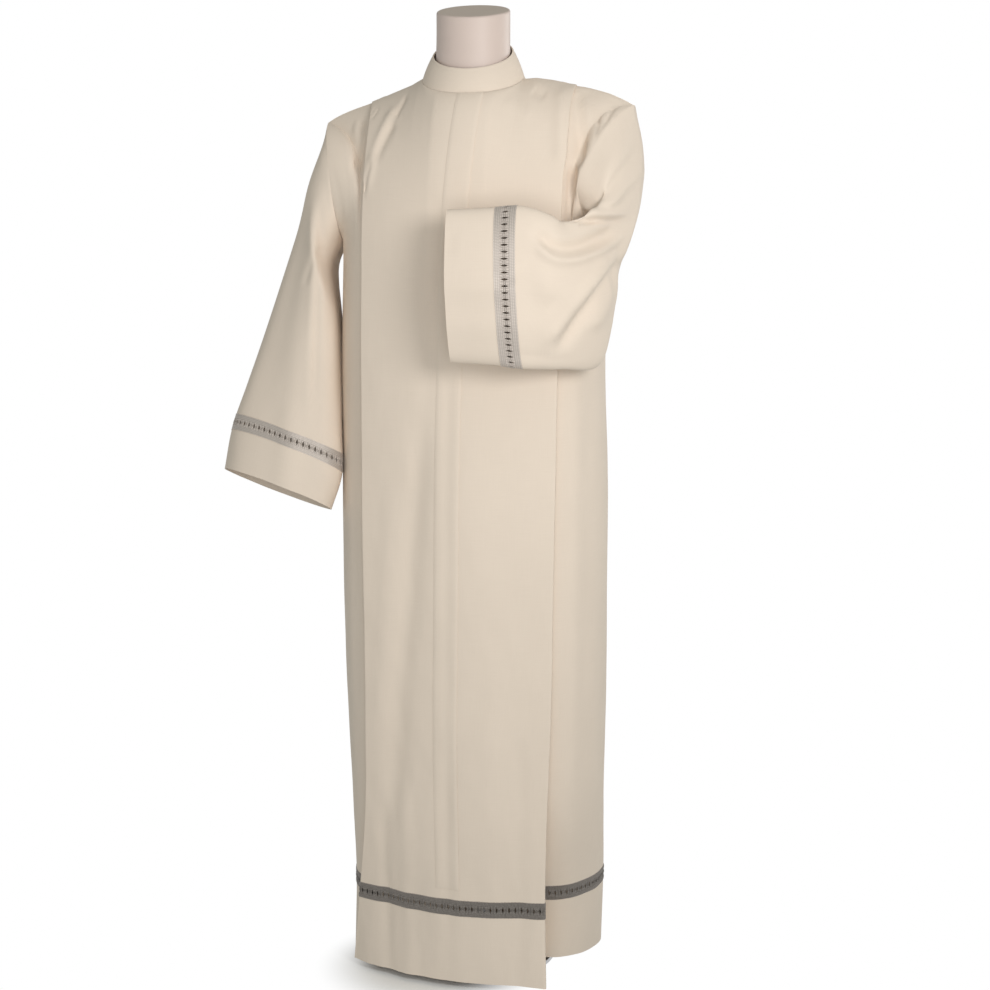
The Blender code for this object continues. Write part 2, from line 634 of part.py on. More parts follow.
def add_trims(stand):
    """The openwork bands above the hem and above each cuff."""
    columns = body_rows(1, "front", [TRIM_LOW]).shape[1]
    first = NECK_STEPS + PANEL_STEPS
    folded = len(PLEAT_PATH) - 1
    spans = [
        (0, columns - 1 - first - folded),
        (columns - 1 - first, columns - 1 + first),
        (columns - 1 + first + folded, 2 * columns - 2),
    ]
    for face in ("front", "back"):
        low, high = half_ring(face, (TRIM_LOW, TRIM_HIGH))
        if face == "back":
            low = low[::-1]
            high = high[::-1]
        add_openwork("hem_trim_" + face, low, high, spans, stand)
    for side, label in ((1, "left"), (-1, "right")):
        rings = np.roll(sleeve_grid(side)[:, :-1], -CUFF_TOP[side], axis=1)
        rings = np.concatenate([rings, rings[:, :1]], 1)
        high, low = rings[TRIM_RING], rings[CUFF_RING]
        if side > 0:
            high, low = high[::-1], low[::-1]
        half = ARMHOLE_STEPS
        names = ("front", "back") if side < 0 else ("back", "front")
        for name, part in zip(names, (slice(0, half + 1), slice(half, None))):
            add_openwork(f"cuff_trim_{label}_{name}", low[part], high[part], [(0, half)], stand)


def closed_rings(rings):
    """Faces of a solid through rings of equal counts, closed flat at both ends."""
    count = len(rings[0])
    faces = [tuple(range(count))[::-1]]
    for level in range(len(rings) - 1):
        for place in range(count):
            after = (place + 1) % count
            low, high = level * count, (level + 1) * count
            faces.append((low + place, low + after, high + after, high + place))
    faces.append(tuple(range((len(rings) - 1) * count, len(rings) * count)))
    return np.concatenate(rings), faces


def oval(half_width, half_depth, middle_y, height, sides, slope=0.0, sharpness=1.0):
    """Points of a level oval, or of one that narrows to points at its sides where sharpness is over 1."""
    turn = np.linspace(0, 2 * np.pi, sides + 1)[:-1]
    x = half_width * np.sign(np.cos(turn)) * np.abs(np.cos(turn)) ** sharpness
    y = half_depth * np.sign(np.sin(turn)) * np.abs(np.sin(turn)) ** sharpness
    return np.stack([x, middle_y + y, height + slope * y], -1)


def add_form(stand):
    """The torso with its neck, then the pole and the base."""
    rings = [oval(width, depth, middle, height, FORM_SIDES) for height, width, depth, middle in FORM_LEVELS]
    for width, depth, under in FORM_RIDGE:
        ridge = shoulder_seam(-1, width, under)
        rings.append(oval(width, depth, ridge[1], ridge[2], FORM_SIDES, sharpness=RIDGE_SHARPNESS))
    rings += [oval(width, depth, middle, height, FORM_SIDES) for height, width, depth, middle in NECK_LEVELS]
    top = NECK_LEVELS[-1]
    rings.append(oval(top[1], top[2], top[3], NECK_TOP_HEIGHT, FORM_SIDES, NECK_TOP_SLOPE))
    points, faces = closed_rings(rings)
    torso = add_object("form_torso", points, faces, material_of("form_shell", FORM_SKIN, 0.0, 0.55), stand)
    torso.data.set_sharp_from_angle(angle=np.radians(40))
    low = BASE_THICKNESS + SEAM
    high = FORM_LEVELS[0][0] - SEAM
    steel = material_of("pole_steel", STEEL, 0.9, 0.35)
    rings = [oval(POLE_RADIUS, POLE_RADIUS, STAND_Y, height, POLE_SIDES) for height in (low, high)]
    points, faces = closed_rings(rings)
    add_object("form_pole", points, faces, steel, stand, smooth=False)
    plate = material_of("base_steel", STEEL, 0.9, 0.4)
    rings = [
        oval(BASE_RADIUS, BASE_RADIUS, STAND_Y, 0.0, BASE_SIDES),
        oval(BASE_RADIUS, BASE_RADIUS, STAND_Y, BASE_THICKNESS - BASE_CHAMFER, BASE_SIDES),
        oval(BASE_RADIUS - BASE_CHAMFER, BASE_RADIUS - BASE_CHAMFER, STAND_Y, BASE_THICKNESS, BASE_SIDES),
    ]
    points, faces = closed_rings(rings)
    add_object("form_base", points, faces, plate, stand, smooth=False)


def main():
    clear_scene()
    stand = bpy.data.objects.new("stand_line", None)
    bpy.context.scene.collection.objects.link(stand)
    stand.location = (ORIGIN[0], ORIGIN[1], 0.0)
    for piece in cloth_pieces():
        add_wall(piece, stand)
    placket = piece_of("placket", placket_grid(), IVORY)
    add_wall(placket, stand)
    add_trims(stand)
    add_form(stand)


main()
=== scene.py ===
"""A white alb with pressed pleats and openwork gimp, on a limbless dress form with a pole and a base.

Metres, +Z up. The wearer's front faces -Y and the wearer's left is +X. Shapes are worked out around the
stand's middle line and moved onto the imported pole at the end, so every piece sits on its own solid.
"""

import bpy
import numpy as np
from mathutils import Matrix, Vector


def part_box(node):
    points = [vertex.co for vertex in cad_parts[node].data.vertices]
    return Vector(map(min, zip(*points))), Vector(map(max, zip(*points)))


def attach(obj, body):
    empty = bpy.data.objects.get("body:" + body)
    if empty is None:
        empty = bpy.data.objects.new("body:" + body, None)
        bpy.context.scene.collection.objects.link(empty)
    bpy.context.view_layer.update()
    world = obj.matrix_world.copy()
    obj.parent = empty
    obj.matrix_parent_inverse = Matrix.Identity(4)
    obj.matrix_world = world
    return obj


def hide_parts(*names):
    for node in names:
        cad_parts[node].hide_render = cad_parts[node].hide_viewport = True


bl_info = {
    "name": "Alb on a dress form",
    "version": (1, 0, 0),
    "blender": (4, 5, 0),
    "location": "3D View > Sidebar > Alb",
    "description": "Builds a pleated alb with openwork gimp on its dress form",
    "category": "Add Mesh",
}

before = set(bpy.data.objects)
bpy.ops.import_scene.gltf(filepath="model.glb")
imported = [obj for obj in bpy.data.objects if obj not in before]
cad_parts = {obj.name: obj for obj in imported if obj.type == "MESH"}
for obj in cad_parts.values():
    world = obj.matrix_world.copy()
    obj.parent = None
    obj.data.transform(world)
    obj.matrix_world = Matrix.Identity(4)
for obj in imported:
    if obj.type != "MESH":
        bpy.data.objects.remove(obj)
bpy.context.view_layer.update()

MM = 0.001

# Where the stand's middle line is: the pole stands behind it by POLE_BACK
POLE_BACK = 48 * MM
POLE_LOW, POLE_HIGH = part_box("form_pole")
STAND = np.array([(POLE_LOW.x + POLE_HIGH.x) / 2, (POLE_LOW.y + POLE_HIGH.y) / 2 - POLE_BACK, 0.0])

# Heights of the garment
HEM = 12 * MM
TRIM_LOW = 131 * MM
TRIM_HIGH = 158 * MM
CHEST = 1190 * MM
RISE_ANGLE = np.radians(80)
SIDEWAYS_POWER = 3.5

# Neckline and collar
NECK_HALF_WIDTH = 80 * MM
NECK_HALF_DEPTH = 76 * MM
NECK_FRONT_HEIGHT = 1457 * MM
NECK_BACK_HEIGHT = 1497 * MM
COLLAR_HEIGHT = 37 * MM
COLLAR_BACK_EXTRA = 4 * MM
COLLAR_TOP_HALF_WIDTH = 62.5 * MM
COLLAR_TOP_HALF_DEPTH = 63 * MM
COLLAR_SWELL = 1.1 * MM
COLLAR_WAVE = 0.8 * MM
COLLAR_LAYERS = 1.6
# Its line of stitches and the fold of its upper edge. Columns: distance under the edge, half width, depth.
COLLAR_GROOVES = ((6 * MM, 0.9 * MM, 0.5 * MM), (0.0, 1.2 * MM, 0.8 * MM))

# Shoulders
RIDGE_Y = 8 * MM
SHOULDER_STRAIGHTNESS = 0.8
SHOULDER_X = {1: 252 * MM, -1: 238 * MM}
SHOULDER_HEIGHT = {1: 1430 * MM, -1: 1404 * MM}

# Pressed pleats. Columns: outward from the panel's edge, into the body, share of an open pleat's depth.
PLEAT_TOP_X = {1: 163 * MM, -1: 166 * MM}
UNDERLAY = 26 * MM
PLEAT_STEP = 7 * MM
PLEAT_PRESSED = 0.42
PLEAT_PATH = (
    (-2.0 * MM, 0.0 * MM, 0.00),
    (-0.3 * MM, 0.8 * MM, 0.00),
    (0.0 * MM, 2.3 * MM, 0.00),
    (-0.5 * MM, 3.8 * MM, 0.01),
    (-2.5 * MM, 4.5 * MM, 0.04),
    (-UNDERLAY, 4.5 * MM, 0.46),
    (-UNDERLAY - 1.5 * MM, 5.7 * MM, 0.50),
    (-UNDERLAY, PLEAT_STEP, 0.54),
)
# Its rows after the front fold, at the start of the inner fold and at the end
PLEAT_MARKS = (4, 5, 7)

# Plan of the body for the wearer's left (1) and right (-1).
# Columns: height, panel edge's x and y, centre's y, side seam's x and y, depth of the open pleat.
FRONT_PLAN = {
    1: (
        (0.012, 0.142, -0.113, -0.110, 0.200, 0.110, 0.120),
        (0.140, 0.138, -0.106, -0.113, 0.206, 0.085, 0.072),
        (0.300, 0.143, -0.112, -0.122, 0.211, 0.042, 0.022),
        (0.500, 0.149, -0.115, -0.131, 0.215, 0.022, 0.004),
        (0.800, 0.153, -0.117, -0.138, 0.216, 0.020, 0.000),
        (1.050, 0.157, -0.117, -0.141, 0.209, 0.020, 0.000),
        (1.190, 0.160, -0.115, -0.143, 0.212, 0.020, 0.000),
    ),
    -1: (
        (0.012, 0.199, -0.055, -0.110, 0.213, 0.030, 0.012),
        (0.140, 0.181, -0.072, -0.113, 0.208, 0.024, 0.008),
        (0.300, 0.164, -0.100, -0.122, 0.211, 0.021, 0.004),
        (0.500, 0.158, -0.113, -0.131, 0.218, 0.020, 0.000),
        (0.800, 0.158, -0.115, -0.138, 0.219, 0.020, 0.000),
        (1.050, 0.157, -0.115, -0.141, 0.217, 0.020, 0.000),
        (1.190, 0.155, -0.113, -0.143, 0.213, 0.020, 0.000),
    ),
}
# The back shares the side seams. Columns: height, panel edge's x and y, centre's y, depth of the open pleat.
BACK_PLAN = (
    (0.012, 0.158, 0.140, 0.168, 0.012),
    (0.300, 0.154, 0.136, 0.160, 0.004),
    (0.800, 0.153, 0.128, 0.148, 0.000),
    (1.190, 0.158, 0.122, 0.142, 0.000),
)
# How many millimetres the cloth lies above the straight line of each shoulder, by its distance from the
# middle in metres. It fades out below the shoulder between the two heights of SHOULDER_FADE.
SHOULDER_RAISE = {
    1: (
        (0.080, 0), (0.100, 6), (0.125, 8.5), (0.152, 9.5), (0.178, 12.5), (0.215, 13), (0.240, 10),
        (0.254, 7), (0.300, 0)),
    -1: (
        (0.080, 0), (0.100, -3.5), (0.140, -4), (0.170, -2.5), (0.205, 1.5), (0.225, 3.5), (0.245, 3.5),
        (0.285, 0)),
}
SHOULDER_FADE = (1.355, 1.425)
# Where the columns of the side stand on their quarter turn from the pleat to the side seam, in degrees.
# The first ones end on the shoulder and the rest on the armhole.
SIDE_DEGREES = (0, 8, 15, 22, 24.5, 26.5, 28.5, 30.5, 37, 49, 62, 76, 90)
SHOULDER_STEPS = 3
ARMHOLE_STEPS = 9

# Armholes: underarm point, and the way from the middle of the armhole to its front and to its back
UNDERARM = {1: (0.2125, 0.020, 1.215), -1: (-0.2135, 0.020, 1.215)}
ARMHOLE_FRONT = {1: (-0.052, -0.105, -0.006), -1: (0.0115, -0.080, -0.008)}
ARMHOLE_BACK = {1: (0.002, 0.084, 0.004), -1: (0.002, 0.080, 0.004)}
ARMHOLE_EASE = {1: 16 * MM, -1: 0.0}
ARMHOLE_DRAW = {1: 1.8, -1: 1.0}

# Sleeves: one row for each ring after the armhole. Columns: the points, in millimetres, where the tube
# passes under the arm, in front of it, outside it and behind it.
SLEEVE_RINGS = {
    1: (
        ((224, 14, 1208), (212, -99, 1302), (266, 10, 1370), (248, 80, 1295)),
        ((227, 2, 1201), (216, -111, 1293), (267, -6, 1298), (243, 55, 1245)),
        ((225, -20, 1194), (214, -123, 1286), (256, -40, 1235), (232, 14, 1197)),
        ((219, -45, 1187), (208, -135, 1281), (245, -62, 1205), (227, -12, 1156)),
        ((211, -72, 1180), (198, -148, 1277), (239, -88, 1190), (224.5, -36, 1115)),
        ((204, -97, 1174), (187, -160, 1273), (236, -113, 1182), (223.5, -61, 1083)),
        ((195, -119, 1170), (174, -172, 1272), (223, -150, 1176), (219, -90, 1050)),
        ((161.5, -144, 1166), (155, -190, 1284), (161.5, -216, 1166), (168, -158, 1048)),
        ((135, -157.5, 1172), (132, -198, 1293), (135, -226.5, 1172), (138, -178, 1050)),
        ((112.8, -167, 1174.5), (109, -201, 1297), (112.8, -234, 1174.5), (116.5, -191, 1052)),
        ((82.2, -173, 1175), (78, -204, 1294), (82.2, -239, 1175), (86.5, -198, 1056)),
        ((7.2, -180.5, 1174), (5, -208, 1289), (7.2, -242.5, 1174), (9.5, -205, 1059)),
    ),
    -1: (
        ((-226.5, 4, 1179), (-243, -68, 1255.5), (-262, 16, 1325), (-251.5, 94, 1245.5)),
        ((-214, -22, 1094), (-243, -77, 1166), (-292, 6, 1222), (-265, 79, 1146)),
        ((-209.3, -44, 990), (-264, -87.5, 1049), (-336, -12, 1085), (-285.5, 55, 1021)),
        ((-206.5, -56, 913), (-280, -97, 968), (-369, -30, 986), (-303, 35, 932)),
        ((-204.5, -61, 882), (-289, -102, 928), (-387.5, -38, 936), (-313, 27, 889)),
        ((-204.5, -64, 854), (-292.5, -105, 904), (-394.5, -42, 911.5), (-316.5, 22, 864)),
        ((-222.5, -66, 792), (-306, -111, 840), (-406.5, -50, 848), (-331, 14, 798)),
    ),
}
TRIM_RING = -3
CUFF_RING = -2
# Where the front gimp of a cuff starts, as a share of the way round from under the arm. The back gimp
# starts half a way round from there.
CUFF_TOP = {1: 2 / 9, -1: 0}

# Placket
PLACKET_WIDTH = 40 * MM
PLACKET_END = 172 * MM
PLACKET_LIFT = 1.5 * MM
PLACKET_EDGE_LIFT = 0.6 * MM
PLACKET_THICKNESS = PLACKET_EDGE_LIFT * 0.7
# Its edge and its line of stitches. Columns: distance from the edge, half width, depth.
PLACKET_GROOVES = ((0.0, 2.2 * MM, PLACKET_LIFT - PLACKET_EDGE_LIFT), (5 * MM, 0.9 * MM, 0.15 * MM))
# Columns: height, x of its edge toward the wearer's left
PLACKET_EDGE = ((0.158, 0.000), (0.45, 0.000), (0.65, 0.004), (1.00, 0.010), (1.30, 0.021), (1.48, 0.034))

# Creases, as curves of three points seen from the front. A height over 0 is a ridge and under 0 a groove.
# Columns, all in millimetres: x and z of the start, the middle and the end, half width, height.
BODY_CREASES = (
    (-100, 1455, -106, 1437, -114, 1418, 3.5, -3),
    (-114, 1420, -126, 1390, -142, 1350, 8.5, -4.8),
    (-112, 1445, -143, 1385, -150, 1300, 7.5, 4.2),
    (-149, 1437, -152, 1428, -157, 1418, 3.5, -1.8),
    (-177, 1422, -166, 1385, -174, 1325, 7, -5.8),
    (-187, 1417, -178, 1394, -171, 1370, 5.5, 3.2),
    (-187, 1417, -190, 1405, -193, 1392, 3.5, -1.7),
    (-143, 1355, -147, 1330, -156, 1300, 4, -3.2),
    (143, 1461, 150, 1410, 155, 1340, 11, 4.2),
    (168, 1456, 176, 1405, 185, 1345, 8, -6),
    (182, 1454, 196, 1415, 211, 1385, 3.6, -3.2),
    (229, 1435, 220, 1415, 212, 1396, 3.6, -3),
    (170, 1351, 172, 1310, 170, 1255, 6.5, -8),
    (100, 1455, 110, 1449, 122, 1443, 6.5, -2.4),
    (60, 1446, 85, 1436, 105, 1410, 9, 1.2),
    (-48, 1010, -74, 700, -126, 190, 19, -5),
    (10, 1050, 12, 560, 14, -120, 70, 8),
    (-30, 1180, -40, 1080, -48, 960, 14, -1.4),
    (-104, 900, -122, 620, -142, 340, 16, 1.6),
    (-8, 1150, -14, 650, -20, 20, 9, -1.5),
    (-131, 330, -132, 150, -128, -60, 11, -3),
    (-92, 380, -93, 180, -90, -60, 15, 3),
    (-20, 420, -21, 200, -18, -60, 12, -1.6),
    (55, 620, 52, 260, 50, -60, 20, 1.6),
    (100, 480, 100, 220, 98, -60, 13, -1.8),
    (180, 1180, 186, 800, 178, 300, 9, 1.8),
    (196, 1120, 200, 760, 196, 340, 9, -1.6),
    (-188, 1000, -190, 640, -186, 260, 9, 1.6),
)
SLEEVE_CREASES = {
    1: (
        (176, 1290, 214, 1280, 258, 1275, 5.5, 4.6),
        (180, 1278, 216, 1270, 258, 1263, 4.5, -5),
        (193, 1268, 204, 1267, 218, 1269, 3, -2.6),
        (140, 1272, 170, 1196, 258, 1268, 10, -8),
        (138, 1254, 172, 1178, 262, 1252, 7, 6),
        (104, 1194, 140, 1166, 176, 1140, 26, -4.4),
        (256, 1215, 224, 1160, 164, 1068, 8, -8.5),
        (246, 1222, 206, 1162, 146, 1080, 8, 4.6),
        (258, 1190, 238, 1150, 212, 1100, 8, 4.4),
        (262, 1370, 240, 1330, 214, 1292, 7, -4.8),
        (272, 1345, 250, 1312, 226, 1286, 6, 4),
        (100, 1075, 140, 1072, 200, 1060, 9, -1.4),
        (12, 1240, 60, 1232, 120, 1236, 22, 1.2),
    ),
    -1: (
        (-232, 1300, -236, 1130, -240, 960, 6, -2.6),
        (-238, 1290, -244, 1120, -252, 900, 10, 1.8),
        (-250, 1330, -284, 1130, -340, 930, 18, -1.8),
        (-262, 1330, -312, 1110, -372, 940, 14, 1.4),
        (-232, 1215, -248, 1190, -262, 1150, 7, -2),
        (-270, 980, -290, 900, -300, 820, 22, 1.6),
    ),
}
BACK_CREASES = (
    (0, 1430, 4, 1000, -6, 20, 18, -6),
    (-60, 1300, -66, 800, -80, -50, 18, 6),
    (60, 1320, 70, 800, 86, -50, 18, 6),
    (-110, 1250, -116, 700, -120, -50, 14, -5.5),
    (112, 1260, 116, 700, 118, -50, 14, -5.5),
    (-130, 1430, -100, 1380, -60, 1330, 14, -3.6),
    (140, 1440, 108, 1390, 62, 1340, 14, -3.6),
    (-204, 1400, -170, 1350, -152, 1270, 9, 4.2),
    (214, 1410, 178, 1355, 154, 1270, 9, 4.2),
    (-198, 1380, -178, 1330, -170, 1250, 7, -5.5),
    (208, 1385, 186, 1330, 174, 1250, 7, -5.5),
    (-186, 1100, -190, 700, -184, 200, 9, 3),
    (188, 1100, 192, 700, 186, 200, 9, 3),
)
CREASE_STEPS = 12

# Waves of the hanging cloth. Columns: number added to the seed, size, width across, length along.
BODY_WAVES = ((0, 0.55 * MM, 0.11, 0.60), (10, 0.16 * MM, 0.035, 0.12))
# Those round a sleeve: how many to a turn, and the size of one with a single wave
SLEEVE_TURNS = (2, 3, 4, 5, 7, 9)
SLEEVE_WAVE = 1.5 * MM

# How a seam draws the cloth in along its edges, and how far folds keep off a seam
SEAM_DIP = 0.35 * MM
SEAM_DIP_WIDTH = 2.5 * MM
SEAM_CALM = 16 * MM

# Dress form. Columns: height, half width, half depth, y of the middle, sharpness of the sides.
FORM_LEVELS = (
    (0.800, 0.148, 0.098, 0.012, 1.0),
    (0.812, 0.158, 0.108, 0.012, 1.0),
    (0.870, 0.166, 0.114, 0.012, 1.0),
    (1.000, 0.152, 0.102, 0.008, 1.0),
    (1.200, 0.172, 0.108, 0.004, 1.0),
    (1.310, 0.186, 0.098, 0.008, 1.0),
    (1.370, 0.190, 0.078, 0.012, 1.0),
)
# Columns: half width, half depth, how far it lies under the shoulder seam
FORM_RIDGE = (
    (0.184, 0.060, 20.0 * MM),
    (0.135, 0.054, 12.5 * MM),
    (0.119, 0.048, 4.0 * MM),
    (0.100, 0.043, 4.0 * MM),
    (0.083, 0.040, 5.0 * MM),
)
RIDGE_SHARPNESS = 2.0
NECK_LEVELS = (
    (1.482, 0.0620, 0.0540, 0.000, 1.0),
    (1.496, 0.0590, 0.0555, 0.000, 1.0),
    (1.510, 0.0582, 0.0560, 0.000, 1.0),
    (1.530, 0.0576, 0.0558, 0.001, 1.0),
    (1.548, 0.0575, 0.0560, 0.002, 1.0),
)
NECK_TOP_HEIGHT = 1580 * MM
NECK_TOP_SLOPE = 0.17
NECK_TOP_Y = 2 * MM
NECK_TOP_ROUND = 3.5 * MM
# Rings of the neck's top. Columns: inward and downward, as shares of NECK_TOP_ROUND.
NECK_TOP_RINGS = ((0.0, 1.0), (0.07, 0.55), (0.29, 0.2), (0.62, 0.04), (1.0, 0.0), (4.0, 0.0), (10.0, 0.3))
POLE_RADIUS = 12 * MM
BASE_RADIUS = 128 * MM
BASE_THICKNESS = 8 * MM

# Gimp: share of its width in each edge band, ribs on a rung's length of it, pitch of its lengthwise lines,
# rows across an edge band, the width that its own coordinates are given for, and the gap at its ends
BAND_SHARE = 0.27
RIBS_PER_CELL = 4.5
LINE_PITCH = 2.6 * MM
BAND_ROWS = (0.0, 0.03, 0.12, 0.30, 0.50, 0.70, 0.88, 0.97, 1.0)
GIMP_WIDTH = 28 * MM
GIMP_GAP = 0.3 * MM
# Its edge bands: steps for each rung, how far a rib leans in pitches of the ribs, how far the ladder's ends
# reach into a band as a share of the width, and its level part, its ribs and the depth of its back as shares
# of its thickness
BAND_STEPS = 20
BAND_LEAN = 0.45
BAND_OVERLAP = 0.03
BAND_LEVEL, BAND_RIBS, BAND_UNDER = 0.68, 0.42, 0.6
# Its ladder: steps of a thread and of a binding, sides of both, where two threads end beside each other as
# a share of a rung, where the bindings lie across the gimp, the radius of their thread, how far they reach
# past the waist and how far off the cloth in thicknesses of thread, and a web's front and back
THREAD_STEPS = 8
RING_STEPS = 12
TUBE_SIDES = 4
FOOT_SHARE = 0.25
BINDING_LEVELS = (0.455, 0.545)
BINDING_RADIUS, BINDING_REACH, BINDING_DEPTH = 0.42, 0.9, 1.05
WEB_FACES = (0.15 * MM, -0.35 * MM)

# How finely the surfaces are divided
DETAIL = {"neck": 22, "panel": 30, "fold": 10, "side": 4}
BACK_DETAIL = {"neck": 14, "panel": 20, "fold": 8, "side": 3}
SLEEVE_ROWS = {1: (92, 5, 22), -1: (76, 5, 22)}
SLEEVE_COLUMNS = 162
# Height of a row below the chest, number of rows above it, detail, first seed of its waves, and creases
BODY_FACES = {
    "front": (9 * MM, 44, DETAIL, 11, BODY_CREASES),
    "back": (11 * MM, 30, BACK_DETAIL, 12, BACK_CREASES),
}
# How strong the waves are at a height
LOOSENESS = ((0.0, 1.5), (0.35, 1.0), (1.0, 0.6), (1.3, 0.35))
# Columns on either side of the neck's corner, rounds of evening out, and how the move fades out
CORNER_COLUMNS = 13
CORNER_ROUNDS = 120
CORNER_FADE = 55 * MM

# The camera: azimuth, distance from the stand, height, tilt below the horizon, and step to the side
CAMERA_AZIMUTH = np.radians(11.5)
CAMERA_DISTANCE = 3.5
CAMERA_HEIGHT = 1.555
CAMERA_TILT = np.radians(12)
CAMERA_ASIDE = 0.034
SENSOR_WIDTH = 36.0

# The light. Columns: name, place, height it faces, size, setting that holds its power, colour.
LIGHTS = (
    ("key_light", (1.25, -1.6, 1.72), 1.1, 0.7, "key_power", (1.0, 0.995, 0.985)),
    ("front_light", (0.5, -2.6, 1.15), 1.05, 1.2, "fill_power", (1.0, 0.99, 0.98)),
    ("back_light", (1.7, 2.0, 1.75), 1.0, 0.8, "back_power", (1.0, 0.995, 0.985)),
)
ROOM_COLOUR = (0.965, 1.0, 0.965, 1.0)
# The floor: radii of its rings, and the distances from the stand between which it turns white
FLOOR_RINGS = (0.2, 0.6, 1.2, 2.0, 3.2, 6.0, 12.0, 30.0)
FLOOR_FADE = (0.08, 0.20)

SIDES = ((1, "left"), (-1, "right"))
REVERSED = (0, 3, 2, 1)
_kept = {}


# ---------------------------------------------------------------- curves and surfaces


def curve_through(table, at):
    """A smooth curve through the rows of a table, whose first column is the place along it.

    Between two rows it is the cubic that has the rows' values and the slopes of their neighbours.
    """
    rows = np.array(table, float)
    knots = rows[:, 0]
    values = rows[:, 1:]
    slopes = np.gradient(values, knots, axis=0)
    at = np.clip(np.atleast_1d(at), knots[0], knots[-1])
    low = np.clip(np.searchsorted(knots, at) - 1, 0, len(knots) - 2)
    span = (knots[low + 1] - knots[low])[:, None]
    t = (at - knots[low])[:, None] / span
    start = values[low] * (2 * t**3 - 3 * t**2 + 1) + values[low + 1] * (3 * t**2 - 2 * t**3)
    bend = slopes[low] * (t**3 - 2 * t**2 + t) + slopes[low + 1] * (t**3 - t**2)
    return start + bend * span


def spread_out(start, end, steps, fine=(0.2, 0.5)):
    """Evenly spaced places with two extra ones near each end, where a seam bends the cloth."""
    size = (end - start) / steps
    even = np.linspace(start, end, steps + 1)
    extra = np.array(fine) * size
    return np.concatenate([even[:1], start + extra, even[1:-1], end - extra[::-1], even[-1:]])


def smooth_step(value):
    """0 below 0, 1 above 1, and an even S between."""
    value = np.clip(value, 0, 1)
    return value * value * (3 - 2 * value)


def bell(distance, width):
    """1 at no distance, falling off as the exponential of minus the square of distance by width."""
    return np.exp(-((distance / width) ** 2))


def full_turn(count):
    """Angles spaced evenly round a full turn, without its end."""
    return np.linspace(0, 2 * np.pi, count + 1)[:-1]


def neckline(angle):
    """An oval that rises from front to back: 0 is the centre front, a half turn the centre back."""
    angle = np.asarray(angle, float)
    rise = (1 - np.cos(angle)) / 2
    height = NECK_FRONT_HEIGHT + (NECK_BACK_HEIGHT - NECK_FRONT_HEIGHT) * rise
    return np.stack([NECK_HALF_WIDTH * np.sin(angle), -NECK_HALF_DEPTH * np.cos(angle), height], -1)


def shoulder_seam(side, x, under):
    """The ridge of one shoulder: it falls nearly straight from the neck and steeper at the tip."""
    x = np.asarray(x, float)
    start = neckline(np.pi / 2)
    t = (x - start[0]) / (SHOULDER_X[side] - start[0])
    drop = start[2] - SHOULDER_HEIGHT[side]
    height = start[2] - drop * (SHOULDER_STRAIGHTNESS * t + (1 - SHOULDER_STRAIGHTNESS) * t**3)
    return np.stack([side * x, RIDGE_Y * np.clip(t * 4, 0, 1) + 0 * x, height - under], -1)


def armhole(side, angle):
    """A slanted oval: 0 is the underarm, a quarter turn the front, a half turn the shoulder's tip."""
    angle = np.asarray(angle, float)[:, None]
    low = np.array(UNDERARM[side])
    tip = shoulder_seam(side, SHOULDER_X[side], 0.0)
    middle = (low + tip) / 2
    reach = np.where(np.sin(angle) > 0, ARMHOLE_FRONT[side], np.negative(ARMHOLE_BACK[side]))
    return middle - (tip - low) / 2 * np.cos(angle) + reach * np.sin(angle) + off_oval(side, angle)


def off_oval(side, angle):
    """How far the front of an armhole leaves its oval.

    Below it goes out onto the body's side by the sine of twice the angle. Above, the sine that draws the
    oval is raised to a power.
    """
    lower = (angle > 0) & (angle < np.pi / 2)
    upper = (angle > np.pi / 2) & (angle < np.pi)
    out = np.where(lower, side * ARMHOLE_EASE[side] * np.sin(2 * angle), 0.0)
    drawn = np.where(upper, np.abs(np.sin(angle)) ** ARMHOLE_DRAW[side] - np.sin(angle), 0.0)
    return out * (1, 0, 0) + drawn * ARMHOLE_FRONT[side]


def pleat_line(steps):
    """The folded path of a pleat, evenly spaced along its own length."""
    path = np.array(PLEAT_PATH)
    length = lengths_across(path[:, :2], 0)
    knots = np.column_stack([length, path])
    fold, under, last = length[list(PLEAT_MARKS)]
    places = np.concatenate([
        np.linspace(0, fold, steps + 1), np.linspace(fold, under, 7)[1:-1],
        np.linspace(under, last, steps // 2 + 1)])
    return curve_through(knots, places)


